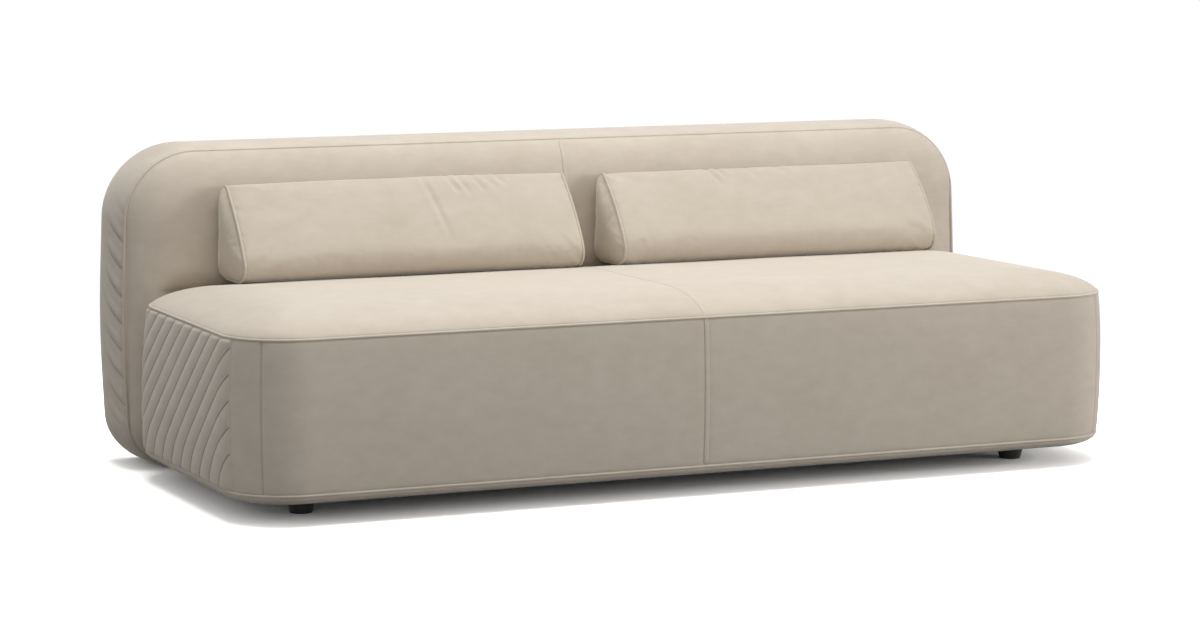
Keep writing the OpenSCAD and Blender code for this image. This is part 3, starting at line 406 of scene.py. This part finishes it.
def seat_wall(s, z):
    """How far the seat's upright face stands out from the seam line, and the painted shade in its
    seams.
    """
    up = (z - foot_seam_z) / (seam_z - foot_seam_z)
    half_s = min(s, 2 * half_loop - s)
    swell = seat_swell + (seat_rear_swell - seat_swell) * ease(
        half_loop - front_run - corner_run, half_loop - front_run, half_s)
    out = swell * math.sin(math.pi * min(1, max(0, up))) ** 0.6 + foot_spread(s) * (1 - up)
    ends = hump(seam_z - z, seam_width) + hump(z - foot_seam_z, seam_width)
    seams = sum(hump(half_s - place, corner_seam_width)
                for place in (corner_seam_s, quilt_end_s))
    ditch = sum(hump(half_s - place, ditch_width) for place in (corner_seam_s, quilt_end_s))
    border = hump(half_s - quilt_s, border_width)
    welt = hump(half_s, under_welt_width)
    out -= (seam_dip * ends + corner_seam_dip * seams + ditch_dip * ditch + border_dip * border
            + under_welt_dip * welt)
    line, along, here = quilt_at(s, z)
    out += quilt_puff * here * abs(math.sin(math.pi * line)) ** 0.42
    x, y = seat_edge(s, 0)
    out += wall_slack * noise.noise(Vector((x * 7, y * 7, z * 9))) * math.sin(math.pi * up)
    # Painted shade along the top and foot seams, in the corner seams and at the quilted panel's
    # border.
    return out, min(1.0, seam_painted_shade * ends + 0.9 * hump(half_s - corner_seam_s, 0.0016)
                    + 0.25 * hump(half_s - quilt_s, 0.002)), (line, along, here)


def seat_top(x, y):
    """Height of the seat's crowned top."""
    inset = inset_at(x, y - seat_mid, seat_half, seat_depth / 2, seat_corner_r)
    rise = crown(inset / crown_run)
    height = seam_z + rise * (seat_crown - seat_fall * (y - seat_front) / seat_depth)
    return (height - top_join_dip * hump(x, join_width) * rise
            + top_slack * noise.noise(Vector((x * 4.2, y * 4.2, 0.3))) * rise)


def seat_point(s, row):
    """A place on the seat's skin: s goes round it, and row names the zone and how far in."""
    zone, t = row
    if zone == "wall":
        out, painted_shade, sewn = seat_wall(s, t)
        x, y = seat_edge(s, out)
        return Vector((x, y, t)), painted_shade, sewn
    if zone == "band":
        spread = foot_spread(s) * math.cos(t)
        x, y = seat_edge(s, spread - seam_dip * hump(t, 0.09) - under_tuck * (1 - math.cos(t)))
        z = foot_seam_z - (foot_seam_z - dust_low.z) * math.sin(t)
        # Painted shade under the foot seam, where the band curves in.
        return Vector((x, y, z)), seam_painted_shade * hump(t, 0.06), (0, 0, 0)
    edge = seam_dip if zone == "top" else under_tuck
    x, y = seat_edge(s, -edge)
    spine = (seat_half - seat_depth / 2) * max(-1, min(1, x / front_run))
    x, y = x + (spine - x) * t, y + (seat_mid - y) * t
    if zone == "top":
        inset = inset_at(x, y - seat_mid, seat_half, seat_depth / 2, seat_corner_r)
        # Painted shade beside the top seam and, wider and fainter, along the top's edge where it
        # rolls over.
        painted_shade = seam_painted_shade * hump(t, seam_shade) + 0.28 * hump(inset, 0.028)
        return Vector((x, y, seat_top(x, y))), painted_shade, (0, 0, 0)
    return Vector((x, y, dust_high.z + 0.0005)), 0.0, (0, 0, 0)


half_stations = stations(front_run, 0.011, (0.0,))
half_stations += [front_run + mark for mark in stations(
    corner_run + side_run + corner_run, 0.0055,
    (corner_seam_s - front_run, quilt_s - front_run, quilt_end_s - front_run))[1:]]
half_stations += [half_loop - mark for mark in reversed(stations(front_run, 0.014)[:-1])]
seat_stations = half_stations + [2 * half_loop - s for s in reversed(half_stations[:-1])]
rows = [("under", t) for t in (1.0, 0.5, 0.1)]
rows += [("band", math.pi / 2 * (1 - i / 8)) for i in range(8)]
rows += [("wall", foot_seam_z + mark)
         for mark in stations(seam_z - foot_seam_z, 0.0065, (0.0, seam_z - foot_seam_z))]
rows += [("top", (i / 38) ** 1.9) for i in range(39)]
seat = fold_grid("seat", seat_stations, rows, seat_point)
seat_velour = velour("seat_velour")
dress(seat, "sofa", seat_velour, "cover_fabric",
      "seat_foam", "seat_front_pad", "seat_rear_pad", "seat_left_pad", "seat_right_pad",
      "seat_left_top_cover", "seat_right_top_cover", "seat_left_front_cover",
      "seat_right_front_cover", "seat_left_side_cover", "seat_right_side_cover",
      "seat_rear_cover", "seat_base_band")


# The seat's piping: cord in a strip of the same velour, painted 1 % lighter as a slight painted
# highlight, sewn into the seam round the top and into the seam round the foot.
cord_marks = 620
cord_sides = 10
cord_wander = 0.05


def tube(name, path):
    """A closed cord along a closed path of (point, outward direction) pairs, with painted shade
    on its inner side, where it meets the cover.
    """
    count = len(path)

    def place(i, k):
        point, outward = path[i % count]
        ahead = (path[(i + 1) % count][0] - path[(i - 1) % count][0]).normalized()
        lift = outward.cross(ahead)
        angle = 2 * math.pi * k / cord_sides
        girth = cord_r * (1 + cord_wander * noise.noise(point * 60))
        across = outward * math.cos(angle) + lift * math.sin(angle)
        # Painted shade on the side of the cord that faces the cover.
        return point + across * girth, 0.5 * max(0.0, -math.cos(angle)) ** 2, (0, 0, 0)

    return fold_grid(name, range(count + 1), range(cord_sides + 1), place)


def seat_cord(name, z, node):
    """Piping all round the seat at one height."""
    marks = [2 * half_loop * i / cord_marks for i in range(cord_marks)]
    path = []
    for s in marks:
        out = foot_spread(s) if z < seat_mid_z else 0
        x, y = seat_edge(s, out - cord_sink)
        far_x, far_y = seat_edge(s, 1)
        path.append((Vector((x, y, z)), Vector((far_x - x, far_y - y, 0)).normalized()))
    cord = tube(name, path)
    dress(cord, "sofa", lit_cord_velour, "cord_fabric", node)


# The same velour painted 1 % lighter, a slight painted highlight on the cords and welts.
lit_cord_velour = velour("lit_cord_velour", (1.01, 1.01, 1.01))
seat_cord("seat_top_cord", seam_z, "seat_top_piping")
seat_cord("seat_foot_cord", foot_seam_z, "seat_base_piping")


# The flat centre welt: a folded strip of velour, sewn over the join of the two halves up the
# front of the seat and on over its top.
welt_half = 0.0055
welt_rise = 0.0025
welt_sink = 0.003
welt_sides = 16
welt_short = 0.004
top_welt_steps = 150


def strip(name, path, rise):
    """A flat welt along an open path of (point, outward direction) pairs, across X. It lies
    flatter where it faces up. Painted shade darkens its two edges, more where it faces out than
    where it faces up."""
    last = len(path) - 1

    def place(i, k):
        point, outward = path[i]
        angle = 2 * math.pi * k / welt_sides
        height = math.sin(angle)
        flat = 1 - 0.6 * outward.z
        lift = rise * flat * max(0.0, height) ** 0.45 if height > 0 else welt_sink * height
        end = 0 if i in (0, last) else 1
        side = Vector((welt_half * math.cos(angle), 0, 0)) * end
        edge = hump(1 - abs(math.cos(angle)), 0.12)
        # Painted shade along the welt's two edges, fainter on top.
        return point + side + outward * lift * end, 0.3 * edge * flat ** 2, (0, 0, 0)

    return fold_grid(name, range(last + 1), range(welt_sides + 1), place)


wall_marks = stations(seam_z - foot_seam_z - 2 * welt_short, 0.006)
welt_path = [(Vector((0, seat_front - seat_wall(0, z)[0], z)), Vector((0, -1, 0)))
             for z in (foot_seam_z + welt_short + mark for mark in wall_marks)]
top_marks = [seat_front + welt_short + (seat_depth - 2 * welt_short) * i / top_welt_steps
             for i in range(top_welt_steps + 1)]
welt_path += [(Vector((0, y, seat_top(0, y))), Vector((0, 0, 1))) for y in top_marks]
seat_welt = strip("seat_centre_welt_strip", welt_path, welt_rise)
dress(seat_welt, "sofa", lit_cord_velour, "cord_fabric", "seat_centre_welt")


# The dust cover: black non-woven cloth, stapled under the seat inside the foot band and round
# the feet.
lining = bpy.data.materials.new("black_lining")
lining_start = blank_tree(lining)
lining_place = lining_start.node("TexCoord", None, None, "Object")
lining_fibres = lining_place.noise(260.0, 4.0)
lining_colour = lining_fibres.mix((0.012, 0.012, 0.012, 1), (0.045, 0.045, 0.047, 1))
lining_bump = lining_start.node("Bump", None, {"Strength": 0.5, "Distance": 1.0,
                                               "Height": lining_fibres * 0.0004})
lining_skin = lining_start.node("BsdfPrincipled", None, {
    "Base Color": lining_colour, "Roughness": 0.95, "Normal": lining_bump})
lining_start.node("OutputMaterial", None, {"Surface": lining_skin})

dust_half_x = dust_high.x
dust_marks = 260


def dust_point(a, b):
    """A place on the cloth: a is 0 to 1 round its edge, b runs from the upper middle out to
    the edge and back to the lower middle."""
    reach = 1 - abs(b)
    s = a * 2 * half_loop
    x, y = seat_edge(s, -(seat_half - dust_half_x))
    x, y = x * reach, seat_mid + (y - seat_mid) * reach
    sag = 0.0006 * noise.noise(Vector((x * 5, y * 5, 1.0))) * (1 - reach ** 6)
    z = dust_high.z if b < 0 else dust_low.z + abs(sag) * 0.2
    return Vector((x, y, z)), 0.0, (0, 0, 0)


dust_rows = [-1, -0.6, -0.3, -0.1, 0, 0.03, 0.1, 0.2, 0.35, 0.5, 0.7, 0.9, 1]
dust_cover = fold_grid("dust_cover", [i / dust_marks for i in range(dust_marks + 1)], dust_rows,
                       dust_point)
dress(dust_cover, "sofa", lining, "lining", "seat_dust_cover")


# The back: a tall slab of foam over a timber frame, wider than the seat. Its front and rear
# panels are piped to a band, which is quilted in short slanting channels up the sides.
back_top_r = 0.166
back_foot_r = 0.100
back_run = 0.130
back_swell = 0.047
band_swell = 0.014
rear_swell = 0.006
side_bow = 0.012
band_pitch = 0.065
band_slant = 0.5
band_start = 0.090
band_puff = 0.0024
band_groove = 0.0038
under_band_swell = 0.008
back_join_dip = 0.0012
back_slack = 0.0010
front_cord_low, front_cord_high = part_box("back_front_piping")
rear_cord_low, rear_cord_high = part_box("back_rear_piping")
back_half = front_cord_high.x - cord_r
back_foot = front_cord_low.z + cord_r
back_top = front_cord_high.z - cord_r
back_y = (front_cord_low.y + front_cord_high.y) / 2
back_rear = (rear_cord_low.y + rear_cord_high.y) / 2
back_mid = (back_foot + back_top) / 2
back_t = back_rear - back_y
foot_run = back_half - back_foot_r
foot_turn = math.pi / 2 * back_foot_r
back_side = back_top - back_foot - back_foot_r - back_top_r
top_turn = math.pi / 2 * back_top_r
back_half_loop = foot_run + foot_turn + back_side + top_turn + back_half - back_top_r


def back_edge(s, out):
    """Point s round the back's outline from the middle of its foot, moved outwards. The sides
    bow out a little between the corners."""
    side = -1
    if s > back_half_loop:
        s = 2 * back_half_loop - s
        side = 1
    low, high = back_foot_r + out, back_top_r + out
    climb = s - foot_run - foot_turn
    if s <= foot_run:
        x, z = s, back_foot - out
    elif climb <= 0:
        turn = (s - foot_run) / back_foot_r
        x = foot_run + low * math.sin(turn)
        z = back_foot + back_foot_r - low * math.cos(turn)
    elif climb <= back_side:
        x, z = back_half + out, back_foot + back_foot_r + climb
    elif climb <= back_side + top_turn:
        turn = (climb - back_side) / back_top_r
        x = back_half - back_top_r + high * math.cos(turn)
        z = back_top - back_top_r + high * math.sin(turn)
    else:
        x, z = back_half_loop - s, back_top + out
    bow = side_bow * math.sin(math.pi * ease(back_foot - 0.1, back_top, z)) * ease(0.95, 1.09, x)
    return side * (x + bow), z


def back_inset(x, z):
    """Distance of a place on the back's face from its seam."""
    radius = back_top_r if z > back_mid else back_foot_r
    return inset_at(x, z - back_mid, back_half, back_top - back_mid, radius)


def back_face(x, z):
    """Place of the back's front face: pressed flat behind the seat, swollen above it."""
    free = crown((z - seam_z - seat_crown / 3) / seat_crown)
    free = 1 - (1 - free) * (1 - ease(0.98, 1.06, abs(x)))
    low_swell = seat_rear_swell - 0.0006
    swell = low_swell + (back_swell - low_swell) * free
    rise = crown(back_inset(x, z) / back_run)
    dent = back_join_dip * hump(x, join_width) * free
    soft = back_slack * noise.noise(Vector((x * 4, 7.0, z * 5))) * free * rise
    return back_y - swell * rise + dent - soft


def band_point(s, v):
    """A place on the band, v from the front seam to the rear."""
    x, z = back_edge(s, 0)
    half_s = min(s, 2 * back_half_loop - s)
    under = ease(foot_run + foot_turn, foot_run, half_s)
    swell = band_swell + (under_band_swell - band_swell) * under
    depth = v * back_t
    ends = hump(depth, seam_width) + hump(back_t - depth, seam_width)
    out = swell * math.sin(math.pi * v) ** 0.6 - seam_dip * ends
    line = (z - band_slant * depth - band_start) / band_pitch
    on_side = ease(0.09, 0.13, z) * ease(0.67, 0.55, z)
    on_side *= ease(back_half * 0.93, back_half * 0.985, abs(x))
    here = on_side * ease(0.002, 0.010, depth) * (1 - 0.94 * ease(0.035, 0.12, depth))
    gap = (line - round(line)) * band_pitch
    out += here * (band_puff * hump(gap - 0.018, 0.016) - band_groove * hump(gap, 0.008))
    far_x, far_z = back_edge(s, out)
    sewn = (line, depth, 0.6 * here * ease(0.3, 0.8, here))
    # Painted shade beside the seams at both edges of the band; the third value of sewn sets the
    # painted shade in the quilted grooves.
    return Vector((far_x, back_y + depth, far_z)), min(1.0, seam_painted_shade * ends), sewn


def back_point(s, row):
    """A place on the back's skin: s goes round it, and row names the zone and how far in."""
    zone, t = row
    if zone == "band":
        return band_point(s, t)
    x, z = back_edge(s, -seam_dip)
    spine = (back_half - (back_top - back_foot) / 2) * max(-1, min(1, x / foot_run))
    x, z = x + (spine - x) * t, z + (back_mid - z) * t
    if zone == "face":
        # Painted shade beside the seam round the front face and round the rear.
        return Vector((x, back_face(x, z), z)), seam_painted_shade * hump(t, seam_shade), (0, 0, 0)
    y = back_rear + rear_swell * crown(back_inset(x, z) / back_run)
    return Vector((x, y, z)), seam_painted_shade * hump(t, seam_shade), (0, 0, 0)


half_stations = stations(foot_run, 0.014)
half_stations += [foot_run + mark
                  for mark in stations(foot_turn + back_side + top_turn, 0.0048)[1:]]
half_stations += [back_half_loop - mark
                  for mark in reversed(stations(back_half - back_top_r, 0.011, (0.0,))[:-1])]
back_stations = half_stations + [2 * back_half_loop - s for s in reversed(half_stations[:-1])]
rows = [("face", (1 - i / 40) ** 1.7) for i in range(41)]
rows += [("band", v / back_t) for v in stations(back_t, 0.0055, (0.0, back_t))]
rows += [("rear", (i / 16) ** 1.8) for i in range(17)]
back = fold_grid("back", back_stations, rows, back_point)
back_velour = velour("back_velour")
dress(back, "sofa", back_velour, "cover_fabric",
      "back_foam", "back_left_pad", "back_right_pad", "back_top_pad", "back_bottom_pad",
      "back_left_front_cover", "back_right_front_cover", "back_left_band", "back_right_band",
      "back_top_band", "back_bottom_band", "back_rear_cover")


# The back's piping and centre welt, of the same make as the seat's.
def back_cord(name, y, node):
    """Piping all round the back at one depth."""
    marks = [2 * back_half_loop * i / cord_marks for i in range(cord_marks)]
    path = []
    for s in marks:
        x, z = back_edge(s, -cord_sink)
        far_x, far_z = back_edge(s, 1)
        path.append((Vector((x, y, z)), Vector((far_x - x, 0, far_z - z)).normalized()))
    cord = tube(name, path)
    dress(cord, "sofa", lit_cord_velour, "cord_fabric", node)


back_cord("back_front_cord", back_y, "back_front_piping")
back_cord("back_rear_cord", back_rear, "back_rear_piping")
face_welt_steps = 60
welt_foot = seam_z + 0.030
face_marks = [welt_foot + (back_top - welt_short - welt_foot) * i / face_welt_steps
              for i in range(face_welt_steps + 1)]
welt_path = [(Vector((0, back_face(0, z), z)), Vector((0, -1, 0))) for z in face_marks]
back_welt = strip("back_centre_welt_strip", welt_path, welt_rise * 0.8)
dress(back_welt, "sofa", lit_cord_velour, "cord_fabric", "back_centre_welt")


# The two loose bolsters: foam wedges in a velour sleeve with swollen end panels, piped round both
# ends. The sleeve is slack enough to crease near its top edge; its velour is painted darker than
# the seat's as painted shade, and painted shade darkens the creases and the seams round both
# ends. They rest on the seat.
bolster_top_r = 0.014
bolster_front_r = 0.042
bolster_rear_r = 0.020
bolster_belly = 0.008
end_draw = 0.002
end_dip = 0.002
end_swell = 0.022
end_pucker = 0.0010
sleeve_wander = 0.0009
held_within = 0.002
slope_angle = math.radians(131)
section_points = 150
section_smoothings = 24
fill_pressure = 4.0
fill_frames = 20
fill_quality = 6
sleeve_slack = 0.012
most_settling = 0.005


def arc(y, z, radius, start, end, count):
    """Points on part of a circle, from the start angle to the end angle."""
    angles = [start + (end - start) * i / count for i in range(count + 1)]
    return [Vector((y + radius * math.cos(a), z + radius * math.sin(a))) for a in angles]


def bolster_section(depth, height, count):
    """Evenly spaced (point, outward direction) pairs round a bolster's section, as (y, z). The
    lower front is smoothed into a soft bulge."""
    turn = math.radians
    top = arc(depth - bolster_rear_r - bolster_top_r / 2, height - bolster_top_r,
              bolster_top_r, turn(6), slope_angle, 14)
    foot = arc(bolster_front_r, bolster_front_r, bolster_front_r,
               slope_angle + turn(18), turn(270), 14)
    rear = arc(depth - bolster_rear_r, bolster_rear_r, bolster_rear_r, turn(270), turn(358), 10)
    high, low = top[-1], foot[0]
    run = low - high
    away = Vector((run.y, -run.x)).normalized()
    slope = [high + run * (i / 30) + away * bolster_belly * math.sin(math.pi * i / 30)
             for i in range(1, 30)]
    outline = rear + top + slope + foot
    legs = [(b - a).length for a, b in zip(outline, outline[1:] + outline[:1])]
    total = sum(legs)
    section = []
    for k in range(count):
        want = total * k / count
        i = 0
        while want > legs[i]:
            want -= legs[i]
            i += 1
        a, b = outline[i], outline[(i + 1) % len(outline)]
        section.append(a + (b - a) * (want / legs[i]))
    for _ in range(section_smoothings):
        soft = [(section[k - 1] + section[(k + 1) % count]) / 2 for k in range(count)]
        section = [there if here.x < depth * 0.5 and here.y < height * 0.62 else here
                   for here, there in zip(section, soft)]
    pairs = []
    for k in range(count):
        run = section[(k + 1) % count] - section[k - 1]
        pairs.append((section[k], Vector((run.y, -run.x)).normalized()))
    return pairs


def settle(piece, held):
    """Fills a slack cover: cloth under pressure from inside, sewn or resting where held(point)
    says so, of which no point moves further than most_settling."""
    group = piece.vertex_groups.new(name="held")
    group.add([vert.index for vert in piece.data.vertices if held(vert.co)], 1.0, "REPLACE")
    cloth = piece.modifiers.new("cloth", "CLOTH")
    settings = cloth.settings
    settings.quality = fill_quality
    settings.use_pressure = True
    settings.uniform_pressure_force = fill_pressure
    settings.shrink_min = -sleeve_slack
    settings.vertex_group_mass = "held"
    settings.effector_weights.gravity = 0
    cloth.point_cache.frame_start = 1
    cloth.point_cache.frame_end = fill_frames
    for step in range(1, fill_frames + 1):
        bpy.context.scene.frame_set(step)
    shaped = piece.evaluated_get(bpy.context.evaluated_depsgraph_get())
    moves = [there.co - here.co for there, here in zip(shaped.data.vertices, piece.data.vertices)]
    piece.modifiers.remove(cloth)
    piece.vertex_groups.remove(group)
    bpy.context.scene.frame_set(1)
    for vert, move in zip(piece.data.vertices, moves):
        vert.co += move * (most_settling / (most_settling + move.length))


def bolster(side, rise, creases):
    """A bolster that stands rise higher than its solid in the middle. Each of its creases is a
    line on its slope: x and height of its top and of its foot, its depth and its width. The
    creases, the seams round both ends and the end panels' rims are darkened with painted shade."""
    low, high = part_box(side + "_bolster_cover")
    start, end = low.x + end_swell, high.x - end_swell
    depth, height = high.y - low.y, high.z - low.z + rise
    count = section_points
    section = bolster_section(depth, height, count)
    middle = Vector((depth / 2, height * 0.4))

    def place(k, row):
        zone, t = row
        point, outward = section[k % count]
        if zone == "sleeve":
            x = start + (end - start) * t
            near = min(x - start, end - x)
            inset = end_draw * (1 - crown(near / 0.12)) + end_dip * hump(near, 0.004)
            inset += rise / 2 * (1 - crown(near / 0.25)) * max(0.0, outward.y)
            pucker = noise.noise(Vector((k * 0.42, x * 3, 2.0 if side == "left" else 5.0)))
            inset += end_pucker * pucker * hump(near, 0.022) * (1 - hump(near, 0.005))
            soft = noise.noise(Vector((x * 6, point.x * 9, point.y * 9)))
            inset += sleeve_wander * soft * (1 - hump(near, 0.03))
            # Painted shade along the bottom of each crease.
            dark = 0.0
            for top_x, top_h, foot_x, foot_h, deep, wide in creases:
                run = Vector((foot_x - top_x, foot_h - top_h))
                gap = Vector((x - top_x, point.y - top_h))
                along = max(0.0, min(1.0, gap.dot(run) / run.length_squared))
                off = (gap - run * along).length
                if point.x < depth - bolster_rear_r and off < 4 * wide:
                    fade = math.sin(math.pi * min(0.98, along * 0.8 + 0.18))
                    inset += deep * fade * (hump(off, wide) - 0.5 * hump(off - 1.9 * wide, wide))
                    dark += 0.12 * fade * hump(off, wide * 0.7)
            flat = point - outward * inset
            # Painted shade in the creases and beside the seams at both ends.
            painted_shade = min(1.0, dark + 0.7 * hump(near, 0.002))
            return Vector((x, low.y + flat.x, low.z + flat.y)), painted_shade, (0, 0, 0)
        rim = point - outward * (end_draw + end_dip + rise / 2 * max(0.0, outward.y))
        reach = 1 - t
        flat = middle + (rim - middle) * reach
        rearward = 0.45 + 0.8 * flat.x / depth
        if zone == "left_end":
            x = start - end_swell * 1.1 * rearward * (1 - reach ** 3) ** 0.5
        else:
            x = end + end_swell * 0.8 * (1 - reach ** 1.7)
        # Painted shade round the end panel's rim, beside its seam.
        return Vector((x, low.y + flat.x, low.z + flat.y)), 0.9 * hump(t, 0.06), (0, 0, 0)

    ends = [(i / 14) ** 1.5 for i in range(15)]
    rows = [("left_end", t) for t in reversed(ends)]
    length = end - start
    rows += [("sleeve", mark / length) for mark in stations(length, 0.005, (0.0, length))]
    rows += [("right_end", t) for t in ends]
    cushion = fold_grid(side + "_bolster", range(count + 1), rows, place)
    settle(cushion, lambda p: (
        abs(p.x - start) < held_within or abs(p.x - end) < held_within
        or p.z < low.z + held_within or p.y > high.y - held_within))
    dress(cushion, side + "_bolster", shaded_bolster_velour, "cover_fabric",
          side + "_bolster_core", side + "_bolster_cover")
    for name, x in (("left", start), ("right", end)):
        path = []
        for point, outward in section:
            flat = point - outward * (end_draw + cord_sink + rise / 2 * max(0.0, outward.y))
            path.append((Vector((x, low.y + flat.x, low.z + flat.y)),
                         Vector((0, outward.x, outward.y))))
        cord = tube(side + "_bolster_%s_cord" % name, path)
        dress(cord, side + "_bolster", shaded_bolster_velour, "cord_fabric", side + "_bolster_piping")


# The same velour painted about 10 % darker, as painted shade on the bolsters and their cords.
shaded_bolster_velour = velour("shaded_bolster_velour", (0.90, 0.90, 0.89))
left_creases = [(-0.395, 0.222, -0.362, 0.085, 0.0030, 0.007),
                (-0.330, 0.226, -0.312, 0.185, 0.0030, 0.006),
                (-0.304, 0.226, -0.281, 0.178, 0.0030, 0.006),
                (-0.264, 0.226, -0.243, 0.185, 0.0026, 0.006),
                (-0.232, 0.226, -0.210, 0.192, 0.0022, 0.006),
                (-0.200, 0.226, -0.182, 0.200, 0.0018, 0.006)]
right_creases = [(0.365, 0.226, 0.395, 0.175, 0.0026, 0.006),
                 (0.395, 0.226, 0.418, 0.190, 0.0018, 0.006),
                 (0.470, 0.226, 0.500, 0.195, 0.0012, 0.008),
                 (0.555, 0.226, 0.590, 0.200, 0.0012, 0.008)]
bolster("left", 0.012, left_creases)
bolster("right", 0.004, right_creases)


# The feet and glides are near-black moulded plastic. The covers hide the rest: pale timber
# rails, posts and ribs, a dark board, webbing and plated steel.
def plain(name, dark, light, scale, stretch, roughness, depth, metallic=0.0):
    """A finish with one grain, stretched along the piece, between two colours and two
    roughnesses."""
    material = bpy.data.materials.new(name)
    start = blank_tree(material)
    place = start.node("TexCoord", None, None, "Object")
    grain = place.noise(scale, 4.0, stretch)
    fine = place.noise(scale * 9, 2.0, stretch)
    colour = start.math("ADD", grain * 1.3 - 0.3, fine * 0.2, clamp=True).mix(dark, light)
    bump = start.node("Bump", None, {"Strength": 0.5, "Distance": 1.0,
                                     "Height": grain * depth + fine * (depth / 3)})
    skin = start.node("BsdfPrincipled", None, {
        "Base Color": colour, "Roughness": roughness[0] + grain * (roughness[1] - roughness[0]),
        "Metallic": metallic, "Normal": bump})
    start.node("OutputMaterial", None, {"Surface": skin})
    return material


finishes = {
    "timber": plain("pale_timber", (0.42, 0.27, 0.14, 1), (0.66, 0.48, 0.28, 1), 9,
                    (0.6, 6, 6), (0.55, 0.75), 0.0006),
    "board": plain("hardboard", (0.16, 0.09, 0.05, 1), (0.28, 0.17, 0.10, 1), 60,
                   (1, 1, 1), (0.6, 0.8), 0.0003),
    "webbing": plain("elastic_webbing", (0.05, 0.055, 0.06, 1), (0.14, 0.15, 0.16, 1), 140,
                     (4, 1, 1), (0.8, 0.95), 0.0006),
    "steel": plain("plated_steel", (0.38, 0.39, 0.41, 1), (0.60, 0.61, 0.63, 1), 120,
                   (1, 1, 8), (0.28, 0.42), 0.0001, 1.0),
    "foot_plastic": plain("black_plastic", (0.008, 0.0075, 0.007, 1), (0.02, 0.019, 0.018, 1),
                          300, (1, 1, 1), (0.38, 0.55), 0.0002),
}
for part in frame["record"]["subparts"]:
    node = frame["nodes"][part["node"]]
    if part["material_slot"] in finishes and not node.hide_render:
        node.data.materials.clear()
        node.data.materials.append(finishes[part["material_slot"]])
